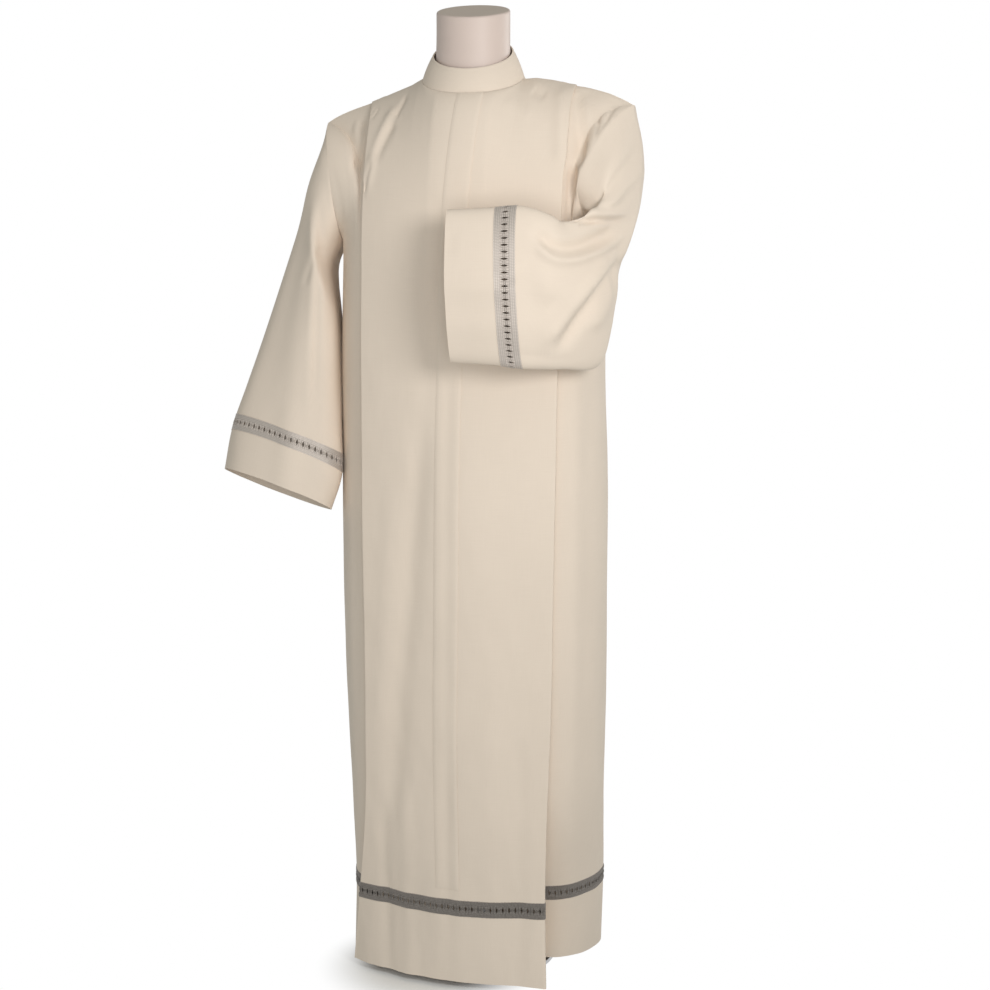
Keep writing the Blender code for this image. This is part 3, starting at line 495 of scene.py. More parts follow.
def quarter(side, face, heights, climbs, detail):
    """A quarter of the body, rows going up and columns from the centre to the side seam.

    Below the chest a row is a shallow parabola, the folded pleat and a quarter of an ellipse. Above it
    each column climbs as a quarter of an ellipse to its place on the neckline, shoulder or armhole.
    """
    at = np.concatenate([heights, [CHEST]])
    edge_x, edge_y, centre_y, seam_x, seam_y, opened = curve_through(FRONT_PLAN[side], at).T[:, :, None]
    if face == "back":
        edge_x, edge_y, centre_y, opened = curve_through(BACK_PLAN, at).T[:, :, None]
    inward = 1 if face == "front" else -1
    turn = np.linspace(0, np.pi / 2, detail["neck"] + 1)
    share = np.linspace(0, 1, detail["panel"] + 1)[1:-1]
    pleat = pleat_line(detail["fold"])
    side_at = spread_out(0, len(SIDE_DEGREES) - 1, detail["side"] * (len(SIDE_DEGREES) - 1))[1:]
    turned = np.radians(curve_through(list(enumerate(SIDE_DEGREES)), side_at)[:, 0])
    neck_x = NECK_HALF_WIDTH * np.sin(turn)
    last = edge_x + PLEAT_PATH[0][0]
    panel_x = np.concatenate([neck_x + 0 * edge_x, neck_x[-1] + (last - neck_x[-1]) * share], 1)
    panel_y = centre_y + (edge_y - centre_y) * (panel_x / last) ** 2
    pleat_x = edge_x + pleat[:, 0]
    pleat_y = edge_y + inward * (pleat[:, 1] + pleat[:, 2] / PLEAT_PATH[-1][2] * opened)
    side_x = pleat_x[:, -1:] + (seam_x - pleat_x[:, -1:]) * np.sin(turned)
    side_y = pleat_y[:, -1:] + (seam_y - pleat_y[:, -1:]) * (1 - np.cos(turned))
    x = np.concatenate([panel_x, pleat_x, side_x], 1)
    y = np.concatenate([panel_y, pleat_y, side_y], 1)
    rows = np.stack([side * x, y, np.broadcast_to(at[:, None], x.shape)], -1)

    neck = neckline(turn if face == "front" else np.pi - turn) * (side, 1, 1)
    last = PLEAT_TOP_X[side] + PLEAT_PATH[0][0]
    panel = shoulder_seam(side, NECK_HALF_WIDTH + (last - NECK_HALF_WIDTH) * share, 0.0)
    fold = shoulder_seam(side, PLEAT_TOP_X[side] + pleat[:, 0], pleat[:, 1] * PLEAT_PRESSED)
    on_top = side_at[side_at < SHOULDER_STEPS] / SHOULDER_STEPS
    start = PLEAT_TOP_X[side] - UNDERLAY
    under = PLEAT_STEP * PLEAT_PRESSED * (1 - on_top)
    outer = shoulder_seam(side, start + (SHOULDER_X[side] - start) * on_top, under)
    past = (side_at[side_at >= SHOULDER_STEPS] - SHOULDER_STEPS) / ARMHOLE_STEPS
    hole = armhole(side, np.pi * (1 - past) if face == "front" else np.pi * (1 + past))
    end = np.concatenate([neck, panel, fold, outer, hole])

    angle = climbs[:, None] * RISE_ANGLE
    up = np.sin(angle) / np.sin(RISE_ANGLE)
    back = (1 - np.cos(angle)) / (1 - np.cos(RISE_ANGLE))
    across = (angle / RISE_ANGLE) ** SIDEWAYS_POWER
    climb = rows[-1] + (end - rows[-1]) * np.stack([across, back, up], -1)
    return np.concatenate([rows, climb])


def sleeve_tube(side, rows_between, columns):
    """A sleeve from its armhole to its cuff, and the rows where the gimp starts and ends.

    Each ring is two half ellipses through its inner edge, front, outer edge and back. The four run on
    smooth curves through the rings of the table.
    """
    tip = shoulder_seam(side, SHOULDER_X[side], 0.0)
    middle = (np.array(UNDERARM[side]) + tip) / 2
    front = middle + ARMHOLE_FRONT[side]
    back = middle + ARMHOLE_BACK[side]
    rings = np.concatenate([[(UNDERARM[side], front, tip, back)], np.array(SLEEVE_RINGS[side]) * MM])
    rings = rings.reshape(-1, 12)
    middle = (rings[:, :3] + rings[:, 6:9]) / 2
    length = lengths_across(middle, 0)
    marks = [0.0, length[TRIM_RING], length[CUFF_RING], length[-1]]
    places = []
    for start, end, count in zip(marks[:-1], marks[1:], rows_between):
        places += spread_out(start, end, count)[:-1].tolist()
    places = np.array(places + [marks[-1]])
    smooth = curve_through(np.column_stack([length, rings]), places)[:, None, :]
    inner, front, outer, back = (smooth[..., k:k + 3] for k in (0, 3, 6, 9))
    turn = np.linspace(0, 2 * np.pi, columns + 1)[None, :, None]
    middle = (inner + outer) / 2
    reach = np.where(np.sin(turn) > 0, front - middle, middle - back)
    grid = middle + (inner - middle) * np.cos(turn) + reach * np.sin(turn)
    near = smooth_step(1 - places / length[1])[:, None, None]
    grid = grid + near * off_oval(side, turn)
    return grid, [int(np.argmin(np.abs(places - mark))) for mark in marks[1:3]]


def unit_normals(grid, closed=False):
    """Unit normals of a grid of points, across times along. closed: its last column repeats the first."""
    along = np.gradient(grid, axis=0)
    across = np.gradient(grid, axis=1)
    if closed:
        joint = (grid[:, 1] - grid[:, -2]) / 2
        across[:, 0] = joint
        across[:, -1] = joint
    normals = np.cross(across, along)
    return normals / np.maximum(np.linalg.norm(normals, axis=-1, keepdims=True), 1e-12)


def lengths_across(grid, axis):
    """How far every point is along the cloth from the first row or column, or along a line from its start."""
    steps = np.linalg.norm(np.diff(grid, axis=axis), axis=-1)
    start = np.zeros_like(np.take(steps, [0], axis))
    return np.cumsum(np.concatenate([start, steps], axis), axis)


def off_edges(grid, edges):
    """How far every point is along the cloth from the nearest of the named edges."""
    far = np.full(grid.shape[:2], 1.0)
    for edge in edges:
        axis = 0 if edge in ("low", "high") else 1
        length = lengths_across(grid, axis)
        if edge in ("high", "last"):
            length = np.take(length, [-1], axis) - length
        far = np.minimum(far, length)
    return far


def crease_field(x, z, table):
    """Soft ridges and grooves: a bell across each curve that fades out toward both of its ends."""
    total = np.zeros_like(x)
    t = np.linspace(0, 1, CREASE_STEPS + 1)[:, None]
    for row in table:
        *points, width, height = np.array(row) * MM
        start, middle, end = np.reshape(points, (3, 2))
        line = (1 - t) ** 2 * start + 2 * t * (1 - t) * middle + t**2 * end
        low = line.min(0) - 3 * width
        high = line.max(0) + 3 * width
        near = (x > low[0]) & (x < high[0]) & (z > low[1]) & (z < high[1])
        if not near.any():
            continue
        place = np.stack([x[near], z[near]], -1)[:, None]
        way = line[1:] - line[:-1]
        along = np.clip(((place - line[:-1]) * way).sum(-1) / (way * way).sum(-1), 0, 1)
        gap = np.linalg.norm(place - line[:-1] - along[..., None] * way, axis=-1)
        nearest = gap.argmin(1)
        pick = np.arange(len(nearest))
        share = (nearest + along[pick, nearest]) / CREASE_STEPS
        ends = smooth_step(share * 5) * smooth_step((1 - share) * 5)
        total[near] += height * bell(gap[pick, nearest], width) * ends
    return total


def soft_waves(across, along, seed, size, wide, long, count=16):
    """Uneven hanging of the cloth: plane waves that are short across the cloth and long along it."""
    random = np.random.default_rng(seed)
    total = np.zeros_like(across)
    for _ in range(count):
        width = wide * random.uniform(0.45, 1.6)
        length = long * random.uniform(0.5, 2.0) * random.choice([-1, 1])
        phase = random.uniform(0, 2 * np.pi)
        weight = random.uniform(0.4, 1.0) * (width / wide) ** 0.7
        total += weight * np.sin(2 * np.pi * (across / width + along / length) + phase)
    return total * size / np.sqrt(count / 2)


def moved_out(grid, height, closed=False, flip=False):
    """The grid moved along its outward normals."""
    return grid + unit_normals(grid, closed) * (height * (-1 if flip else 1))[..., None]


def seam_dip(grid, edges):
    """How much the cloth is drawn in beside its seams: a bell of the distance from them."""
    return -SEAM_DIP * bell(off_edges(grid, edges), SEAM_DIP_WIDTH)


# ---------------------------------------------------------------- meshes


def mesh_object(name, points, faces, materials, uv=None, sharp=None, material_index=None):
    """An object from arrays of points and of faces, placed on the stand, sharp from an angle in degrees."""
    mesh = bpy.data.meshes.new(name)
    mesh.from_pydata((np.asarray(points) + STAND).tolist(), [], [tuple(face) for face in faces])
    if uv is not None:
        layer = mesh.uv_layers.new(name="cloth")
        layer.data.foreach_set("uv", np.asarray(uv, np.float32).ravel())
    for material in materials:
        mesh.materials.append(material)
    if material_index is not None:
        mesh.polygons.foreach_set("material_index", np.asarray(material_index, np.int32))
    mesh.shade_smooth()
    if sharp is not None:
        mesh.set_sharp_from_angle(angle=np.radians(sharp))
    mesh.validate()
    mesh.update()
    return linked(bpy.data.objects.new(name, mesh))


def linked(item):
    """The object, shown in the scene."""
    bpy.context.scene.collection.objects.link(item)
    return item


def numbered(*shape):
    """Point numbers laid out as a grid, or as several grids of one size."""
    return np.arange(np.prod(shape)).reshape(shape)


def wrapped(index):
    """Rows of point numbers with the first one of each repeated at its end."""
    return np.concatenate([index, index[..., :1]], -1)


def quads_of(index):
    """The quads of grids of point numbers, whose last two axes are the rows and the columns."""
    corners = [index[..., :-1, :-1], index[..., :-1, 1:], index[..., 1:, 1:], index[..., 1:, :-1]]
    return np.stack(corners, -1).reshape(-1, 4)


def two_walls(index, count, closed=False):
    """Faces of grids, of their backs count points later, turned round, and of the strips between the two.

    A strip follows each edge of a grid. A closed grid has no first and no last column.
    """
    front = quads_of(index)
    edges = [index[..., 0, ::-1], index[..., -1, :]]
    if not closed:
        edges += [index[..., 0], index[..., ::-1, -1]]
    strips = [np.stack([edge[..., :-1], edge[..., 1:], edge[..., 1:] + count, edge[..., :-1] + count], -1)
              for edge in edges]
    return np.concatenate([front, front[:, REVERSED] + count] + [strip.reshape(-1, 4) for strip in strips])


def cloth_wall(name, grid, material, thickness, closed=False, flip=False):
    """A cloth shell: the outer grid, the same grid moved in along its normals, and a strip round each edge.

    Its own coordinates are metres along the cloth from its middle column and its first row.
    """
    rows, columns = grid.shape[:2]
    across = lengths_across(grid, 1)
    across = across - across[:, columns // 2][:, None]
    own = np.stack([across, lengths_across(grid, 0)], -1).reshape(-1, 2)
    inner = grid - unit_normals(grid, closed) * (-thickness if flip else thickness)
    width = columns - 1 if closed else columns
    index = numbered(rows, width)
    if closed:
        index = wrapped(index)
    faces = two_walls(index, rows * width, closed)
    spots = two_walls(numbered(rows, columns), 0, closed)
    if flip:
        faces = faces[:, REVERSED]
        spots = spots[:, REVERSED]
    points = np.concatenate([grid[:, :width].reshape(-1, 3), inner[:, :width].reshape(-1, 3)])
    return mesh_object(name, points, faces, [material], own[spots].reshape(-1, 2), 50)


def placed(item, node):
    """Puts a piece under the root body and hides the solid that it stands for."""
    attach(item, "root")
    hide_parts(node)


def sewn(name, grid, node, held, rests_on, thickness=None, closed=False, flip=False):
    """A cloth piece in the ivory cloth, put in place of its solid; its widest row and longest column are
    worked out but not used.
    """
    settings = bpy.context.scene.alb_cloth
    cloth = finish("ivory_plain_weave", woven_cloth, settings)
    item = cloth_wall(name, grid, cloth, thickness or settings.thickness, closed, flip)
    placed(item, node)
    width = float(lengths_across(grid, 1)[:, -1].max())
    length = float(lengths_across(grid, 0)[-1].max())


# ---------------------------------------------------------------- the robe's surfaces


def body_heights(step):
    """Rows from the hem to the chest, with one on each seam of the openwork band."""
    low = spread_out(HEM, TRIM_LOW, 10)
    band = np.linspace(TRIM_LOW, TRIM_HIGH, 5)
    high = spread_out(TRIM_HIGH, CHEST, int((CHEST - TRIM_HIGH) / step))
    return np.concatenate([low[:-1], band[:-1], high[:-1]])


def without_corner(grid, chest, corner):
    """Rounds the ridge that runs down from the neck's corner, where the neckline meets the shoulder.

    Above the chest each point beside the corner's column moves many times halfway to the mean of its two
    neighbours in its row. The move fades out toward the neckline and the shoulder.
    """
    columns = slice(corner - CORNER_COLUMNS, corner + CORNER_COLUMNS)
    far = lengths_across(grid[::-1], 0)[::-1][chest:, columns, None]
    share = 0.5 * smooth_step(far / CORNER_FADE)
    for _ in range(CORNER_ROUNDS):
        near = (grid[chest:, :-2] + grid[chest:, 2:]) / 2
        here = grid[chest:, columns]
        grid[chest:, columns] = here + (near[:, columns.start - 1:columns.stop - 1] - here) * share
    return grid


def with_shoulder(grid, side):
    """The grid with its shoulder lifted or let down by the table, more the higher a point lies."""
    out, lift = np.array(SHOULDER_RAISE[side]).T
    low, high = SHOULDER_FADE
    share = smooth_step((grid[..., 2] - low) / (high - low))
    grid = grid.copy()
    grid[..., 2] += np.interp(side * grid[..., 0], out, lift) * MM * share
    return grid


def body_surface(face, side, depth):
    """One quarter of the body with its folds, and the numbers of the rows at the band's two seams."""
    if (face, side, depth) in _kept:
        return _kept[face, side, depth]
    step, rise, detail, seed, table = BODY_FACES[face]
    heights = body_heights(step)
    grid = quarter(side, face, heights, spread_out(0, 1, rise)[1:], detail)
    bands = [int(np.argmin(np.abs(heights - mark))) for mark in (TRIM_LOW, TRIM_HIGH)]
    grid = without_corner(grid, len(heights), detail["neck"])
    x, z = grid[..., 0], grid[..., 2]
    across = lengths_across(grid, 1) * side
    calm = smooth_step(off_edges(grid, ("last",)) / SEAM_CALM)
    calm = calm * smooth_step(lengths_across(grid[::-1], 0)[::-1] / SEAM_CALM)
    waves = sum(soft_waves(across, z, seed + more, *size) for more, *size in BODY_WAVES)
    height = crease_field(x, z, table) + waves * np.interp(z, *np.transpose(LOOSENESS))
    flip = (face == "front") != (side > 0)
    grid = moved_out(grid, height * calm * depth, flip=flip)
    grid = with_shoulder(moved_out(grid, seam_dip(grid, ("high", "last")), flip=flip), side)
    _kept[face, side, depth] = grid, bands
    return grid, bands


def both_halves(face, depth):
    """The whole front or back of the body, seen left to right, and the rows of the gimp's two seams."""
    left, bands = body_surface(face, 1, depth)
    right, _ = body_surface(face, -1, depth)
    if face == "front":
        return np.concatenate([right[:, :0:-1], left], 1), bands
    return np.concatenate([left[:, ::-1], right[:, 1:]], 1), bands


def sleeve_surface(side, depth):
    """One sleeve with its folds, from the armhole to the cuff's edge, and the rows of the gimp's seams.

    The creases keep to its front. Round it runs a sine wave for each number of SLEEVE_TURNS, and a wave is
    weaker the more often it turns.
    """
    if ("sleeve", side, depth) in _kept:
        return _kept["sleeve", side, depth]
    flip = side > 0
    grid, marks = sleeve_tube(side, SLEEVE_ROWS[side], SLEEVE_COLUMNS)
    facing = unit_normals(grid, True)[..., 1] * (1 if flip else -1)
    along = lengths_across(grid, 0)
    across = lengths_across(grid, 1)
    loop = across / across[:, -1:] * 2 * np.pi
    height = crease_field(grid[..., 0], grid[..., 2], SLEEVE_CREASES[side]) * smooth_step(0.5 + facing * 1.6)
    random = np.random.default_rng(31 + side)
    for turns in SLEEVE_TURNS:
        length = random.uniform(0.18, 0.5)
        phase = random.uniform(0, 2 * np.pi, 2)
        size = random.uniform(0.5, 1.0) * SLEEVE_WAVE / turns**0.6
        height = height + size * np.sin(turns * loop + phase[0] + np.sin(along / length * 3 + phase[1]) * 1.2)
    grid = moved_out(grid, height * smooth_step(along / SEAM_CALM) * depth, True, flip)
    grid = with_shoulder(moved_out(grid, seam_dip(grid, ("low",)), True, flip), side)
    _kept["sleeve", side, depth] = grid, marks
    return grid, marks


def collar_surface():
    """The stand collar: it leans in from the neckline to its upper edge, with a slight swell between."""
    turn = np.linspace(0, 2 * np.pi, 181)
    low = neckline(turn)
    high = low * (COLLAR_TOP_HALF_WIDTH / NECK_HALF_WIDTH, COLLAR_TOP_HALF_DEPTH / NECK_HALF_DEPTH, 1)
    high[:, 2] += COLLAR_HEIGHT + COLLAR_BACK_EXTRA * (1 - np.cos(turn)) / 2
    share = spread_out(0, 1, 14)[:, None]
    grid = low + (high - low) * share[..., None]
    wave = np.sin(3 * turn + 0.6) * 0.5 + np.sin(5 * turn + 2.0) * 0.4 + np.sin(8 * turn + 4.0) * 0.25
    height = COLLAR_SWELL * np.sin(np.pi * share) + wave * COLLAR_WAVE * share * (1 - share * 0.5)
    top = off_edges(grid, ("high",))
    for place, width, fall in COLLAR_GROOVES:
        height -= fall * bell(top - place, width)
    return moved_out(grid, height + seam_dip(grid, ("low",)), True)


def placket_surface(depth):
    """The closing strip: the front's own surface between two upright lines, moved out from it."""
    left, _ = body_surface("front", 1, depth)
    right, _ = body_surface("front", -1, depth)
    columns = DETAIL["neck"] + 1
    whole = np.concatenate([right[:, columns - 1:0:-1], left[:, :columns]], 1)
    whole = whole[whole[:, columns - 1, 2] >= PLACKET_END - 0.5 * MM][:-2]
    edge = curve_through(PLACKET_EDGE, whole[:, columns - 1, 2])
    wanted = edge - PLACKET_WIDTH * (1 - spread_out(0, 1, 14, (0.1, 0.35)))
    grid = np.array([
        np.stack([np.interp(places, row[:, 0], row[:, axis]) for axis in range(3)], -1)
        for row, places in zip(whole, wanted)])
    far = off_edges(grid, ("first", "last", "low"))
    lift = PLACKET_LIFT + 0 * far
    for place, width, fall in PLACKET_GROOVES:
        lift -= fall * bell(far - place, width)
    return moved_out(grid, lift)


# ---------------------------------------------------------------- materials


def finish(name, make, *values):
    """The material of that name, made on first use."""
    return bpy.data.materials.get(name) or make(name, *values)


def nodes_of(name):
    """A new material with its nodes and its Principled shader."""
    material = bpy.data.materials.new(name)
    material.use_nodes = True
    return material, material.node_tree, material.node_tree.nodes["Principled BSDF"]


def connect(tree, node, inputs):
    """Sets inputs of a node, by their names or numbers, each to a value or to another node's output."""
    for key, value in inputs.items():
        if isinstance(value, bpy.types.NodeSocket):
            tree.links.new(value, node.inputs[key])
        else:
            node.inputs[key].default_value = value


def added(tree, kind, inputs=None, **settings):
    """A new node with its settings and its inputs."""
    node = tree.nodes.new("ShaderNode" + kind)
    for key, value in settings.items():
        setattr(node, key, value)
    connect(tree, node, inputs or {})
    return node


def calculated(tree, operation, *values):
    """A Math node's result for sockets or numbers."""
    return added(tree, "Math", dict(enumerate(values)), operation=operation).outputs[0]


def ripples(tree, value, pitch):
    """A sine of a coordinate with one wave for each pitch."""
    return calculated(tree, "SINE", calculated(tree, "MULTIPLY", value, 2 * np.pi / pitch))


def noise(tree, source, scale, detail=3.0, roughness=0.5, stretch=(1, 1, 1)):
    """A noise pattern on a stretched copy of the coordinates."""
    place = added(tree, "Mapping", {"Vector": source, "Scale": stretch}).outputs["Vector"]
    inputs = {"Vector": place, "Scale": scale, "Detail": detail, "Roughness": roughness}
    return added(tree, "TexNoise", inputs).outputs["Fac"]


def mixed(tree, share, first, second):
    """A colour between two colours or sockets."""
    return added(tree, "Mix", {0: share, 6: first, 7: second}, data_type="RGBA").outputs[2]


def between(tree, value, low, high):
    """A pattern from 0 to 1 brought to lie between two numbers."""
    return added(tree, "MapRange", {"Value": value, "To Min": low, "To Max": high}).outputs[0]


def bumps(tree, height, strength, distance):
    """The normals of a relief."""
    inputs = {"Height": height, "Strength": strength, "Distance": distance}
    return added(tree, "Bump", inputs).outputs["Normal"]


def toned(colour, tone):
    """A colour made darker or lighter."""
    return [value * tone for value in colour[:3]] + [1.0]


def object_place(tree):
    """Coordinates of the part."""
    return added(tree, "TexCoord").outputs["Object"]


def cloth_place(tree):
    """A piece's own coordinates in metres: both in one, then across the cloth and along it."""
    own = added(tree, "UVMap", uv_map="cloth").outputs["UV"]
    split = added(tree, "SeparateXYZ", {"Vector": own})
    return own, split.outputs["X"], split.outputs["Y"]


def woven_cloth(name, settings):
    """Ivory plain weave: two crossed sets of threads with slubs, fine fluff and slow changes of tone."""
    material, tree, shader = nodes_of(name)
    flat, across, along = cloth_place(tree)
    place = object_place(tree)
    pitch = settings.thread_pitch
    weave = calculated(tree, "MULTIPLY", ripples(tree, across, pitch), ripples(tree, along, pitch))
    slub_up = noise(tree, flat, 1.0, 2.0, 0.6, (1500, 22, 1))
    slub_across = noise(tree, flat, 1.0, 2.0, 0.6, (26, 1300, 1))
    slubs = calculated(tree, "ADD", slub_up, slub_across)
    fluff = noise(tree, place, 900.0, 2.0, 0.6)
    shade, colour = tuple(settings.shade), tuple(settings.colour)
    threads = mixed(tree, calculated(tree, "MULTIPLY", slubs, 0.5), shade, colour)
    slow = between(tree, noise(tree, place, 7.0, 3.0, 0.55), 0.955, 1.035)
    relief = calculated(tree, "MULTIPLY_ADD", weave, 0.22, calculated(tree, "MULTIPLY", slubs, 0.55))
    relief = calculated(tree, "MULTIPLY_ADD", fluff, 0.35, relief)
    connect(tree, shader, {
        "Base Color": added(tree, "VectorMath", {0: threads, "Scale": slow}, operation="SCALE").outputs[0],
        "Roughness": between(tree, fluff, 0.80, 0.93),
        "Normal": bumps(tree, relief, 0.35, 0.16 * MM),
        "Sheen Weight": 0.12,
        "Sheen Roughness": 0.45,
        "Sheen Tint": (1.0, 0.97, 0.92, 1.0),
        "Specular IOR Level": 0.22,
    })
    return material


def silver_thread(name, tone, settings):
    """Spun silver-grey thread; a tone under 1 darkens both its colours as painted shade.

    A fine twist, bright flecks and ribs across the piece mix its two colours. Dark lines run along it.
    """
    material, tree, shader = nodes_of(name)
    own, along, up = cloth_place(tree)
    # A tone under 1 is painted shade: the hem's gimp gets a darker copy of the same two thread colours.
    dark, light = toned(settings.thread_dark, tone), toned(settings.thread_light, tone)
    inputs = {"Vector": own, "Scale": 420.0, "Distortion": 1.5, "Detail": 1.0}
    twist = added(tree, "TexWave", inputs, wave_type="BANDS", bands_direction="DIAGONAL").outputs["Fac"]
    flecks = noise(tree, object_place(tree), 1400.0, 2.0, 0.7)
    ribs = calculated(tree, "MULTIPLY_ADD", ripples(tree, along, settings.cell / RIBS_PER_CELL), 0.5, 0.5)
    fine = calculated(tree, "MULTIPLY_ADD", twist, 0.35, calculated(tree, "MULTIPLY", flecks, 0.3))
    share = calculated(tree, "MULTIPLY_ADD", ribs, 0.5, fine)
    lines = calculated(tree, "MULTIPLY_ADD", ripples(tree, up, LINE_PITCH), 0.24, 0.76)
    share = calculated(tree, "MULTIPLY", share, lines)
    connect(tree, shader, {
        "Base Color": mixed(tree, share, dark, light),
        "Roughness": between(tree, flecks, 0.38, 0.62),
        "Normal": bumps(tree, share, 0.5, 0.15 * MM),
        "Metallic": 0.25,
        "Sheen Weight": 0.1,
    })
    return material


def form_shell(name, colour):
    """Smooth moulded shell: a fine orange-peel surface and a slow mottle."""
    material, tree, shader = nodes_of(name)
    place = object_place(tree)
    mottle = noise(tree, place, 18.0, 4.0, 0.55)
    connect(tree, shader, {
        "Base Color": mixed(tree, mottle, toned(colour, 0.93), tuple(colour)),
        "Roughness": between(tree, mottle, 0.42, 0.56),
        "Normal": bumps(tree, noise(tree, place, 520.0, 2.0, 0.5), 0.12, 0.2 * MM),
        "Specular IOR Level": 0.4,
    })
    return material


def brushed_steel(name, colour):
    """Brushed steel: fine rings round the upright axis in its roughness and relief."""
    material, tree, shader = nodes_of(name)
    place = object_place(tree)
    brush = noise(tree, place, 1.0, 3.0, 0.6, (60, 60, 2600))
    patches = noise(tree, place, 25.0, 3.0, 0.5)
    connect(tree, shader, {
        "Base Color": mixed(tree, patches, toned(colour, 0.8), tuple(colour)),
        "Roughness": between(tree, brush, 0.26, 0.46),
        "Normal": bumps(tree, brush, 0.15, 0.1 * MM),
        "Metallic": 1.0,
    })
    return material


# ---------------------------------------------------------------- the gimp


def line_frame(low, high):
    """A way to place points on the strip between two lines: along it, across it and off it."""
    middle = (low + high) / 2
    length = lengths_across(middle, 0)
    way = np.gradient(middle, length, axis=0)
    out = np.cross(way, high - low)
    out /= np.linalg.norm(out, axis=-1, keepdims=True)

    def at(along, across, off):
        """Points at metres along the strip, at a share across it and at metres off its surface.

        All three are arrays of one shape, or of shapes that go together.
        """
        along, across, off = np.broadcast_arrays(along, across, off)
        bottom, top, normal = (
            np.stack([np.interp(along, length, line[:, axis]) for axis in range(3)], -1)
            for line in (low, high, out))
        return bottom + (top - bottom) * across[..., None] + normal * off[..., None]

    return at, length[-1]


def own_place(along, across):
    """Places on the gimp in metres, along it and across it."""
    return np.stack(np.broadcast_arrays(along, across * GIMP_WIDTH), -1).reshape(-1, 2)


def edge_band(at, start, end, upper, settings):
    """One dense edge of the gimp: slanted ribs across it, and a small scallop for each rib on its outer edge.

    Its height is a flat arch across the band times a ripple whose crests lean along the band.
    """
    columns = max(4, int(round((end - start) / settings.cell * BAND_STEPS)))
    along = np.linspace(start, end, columns + 1)[None, :]
    share = np.array(BAND_ROWS)[:, None]
    lean = share * BAND_LEAN * (1 if upper else -1)
    ripple = np.sin(2 * np.pi * (along / settings.cell * RIBS_PER_CELL + lean))
    arch = np.sqrt(np.clip(1 - (2 * share - 1) ** 4, 0, 1))
    off = arch * (BAND_LEVEL + BAND_RIBS * ripple) * settings.band_height
    scallop = settings.scallop * (0.5 + 0.5 * ripple)
    across = share * BAND_SHARE - scallop * (1 - share) ** 6
    if upper:
        across = 1 - across
    front = at(along, across, off)
    back = at(along, across, -settings.band_height * BAND_UNDER)
    own = own_place(along + lean * settings.cell / RIBS_PER_CELL, share * BAND_SHARE)
    index = numbered(*front.shape[:2])
    faces = two_walls(index, index.size)
    if upper:
        faces = faces[:, ::-1]
    return np.concatenate([front, back]).reshape(-1, 3), faces, np.tile(own, (2, 1))


def thread_tubes(at, centres, run, across, settings):
    """The threads of each fan: square tubes along the paths run, in a wave of over and under."""
    fan = np.arange(run.shape[0]) - run.shape[0] // 2
    lift = 0.25 * settings.thread * np.cos(np.pi * fan)[:, None, None]
    spin = full_turn(TUBE_SIDES)
    radius = settings.thread / 2
    along = centres[:, None, None, None] + run[None, :, :, None] + radius * np.cos(spin)
    level = across[:, None]
    points = at(along, level, lift + radius * np.sin(spin)).reshape(-1, 3)
    index = wrapped(numbered(len(centres) * len(fan), len(across), TUBE_SIDES))
    return points, quads_of(index), own_place(along + radius * spin, level)


def webs(at, centres, run, across):
    """A closed flat web under each fan, as wide as its outer threads, its two faces at WEB_FACES."""
    side = np.linspace(-1, 1, 5)
    along = centres[:, None, None] + run[-1][None, :, None] * side
    level = across[:, None]
    front, back = (at(along, level, off).reshape(-1, 3) for off in WEB_FACES)
    index = numbered(*along.shape)
    own = own_place(along, level)
    return np.concatenate([front, back]), two_walls(index, index.size), np.tile(own, (2, 1))


def binding(at, centres, level, settings):
    """A small ring about every waist: a flat oval loop along the gimp, made of a round thread."""
    turn = full_turn(RING_STEPS)[:, None]
    spin = full_turn(TUBE_SIDES)
    radius = settings.thread * BINDING_RADIUS
    half = settings.waist * 2 + settings.thread * BINDING_REACH
    depth = settings.thread * BINDING_DEPTH
    along = centres[:, None, None] + np.cos(turn) * half + np.cos(turn) * np.cos(spin) * radius
    off = np.sin(turn) * depth + np.sin(turn) * np.cos(spin) * radius
    across = level + np.sin(spin) * radius / GIMP_WIDTH
    index = numbered(len(centres), RING_STEPS, TUBE_SIDES)
    index = wrapped(np.concatenate([index, index[:, :1]], 1))
    return at(along, across, off).reshape(-1, 3), quads_of(index)[:, REVERSED], own_place(along, across)


def ladder(at, centres, settings):
    """The ladder between the edge bands: a fan of five threads for each rung, drawn in at its waist.

    A thread runs from one band to the other, its place along the gimp a cosine of the share across.
    A thin web of matted thread fills every fan, and round bindings go about its waist.
    """
    share = np.linspace(0, 1, THREAD_STEPS + 1)
    fan = np.arange(-2, 3)[:, None]
    waist = settings.waist * fan
    foot = settings.cell * FOOT_SHARE * fan
    run = waist + (foot - waist) * (0.5 + 0.5 * np.cos(2 * np.pi * share))
    across = 0.5 + (share - 0.5) * (1 - 2 * (BAND_SHARE - BAND_OVERLAP))
    rings = [binding(at, centres, level, settings) for level in BINDING_LEVELS]
    return [thread_tubes(at, centres, run, across, settings), webs(at, centres, run, across), *rings]


def gimp(name, low, high, tone, settings):
    """A length of openwork braid between two lines; a tone under 1 darkens it as painted shade."""
    at, length = line_frame(low, high)
    count = max(2, int(round(length / settings.cell)))
    centres = (np.arange(count) + 0.5) * (length / count)
    bands = [edge_band(at, GIMP_GAP, length - GIMP_GAP, upper, settings) for upper in (False, True)]
    points, faces, own = zip(*bands, *ladder(at, centres, settings))
    starts = np.cumsum([0] + [len(part) for part in points[:-1]])
    faces = np.concatenate([part + start for part, start in zip(faces, starts)])
    # The darker copy of the thread material is painted shade for the hem's gimp, not a thread of another
    # colour.
    label = "silver_grey_thread" if tone == 1 else "dark_silver_grey_thread"
    material = finish(label, silver_thread, tone, settings)
    own = np.concatenate(own)[faces].reshape(-1, 2)
    return mesh_object(name, np.concatenate(points), faces, [material], own, 60)


# ---------------------------------------------------------------- the dress form and its stand


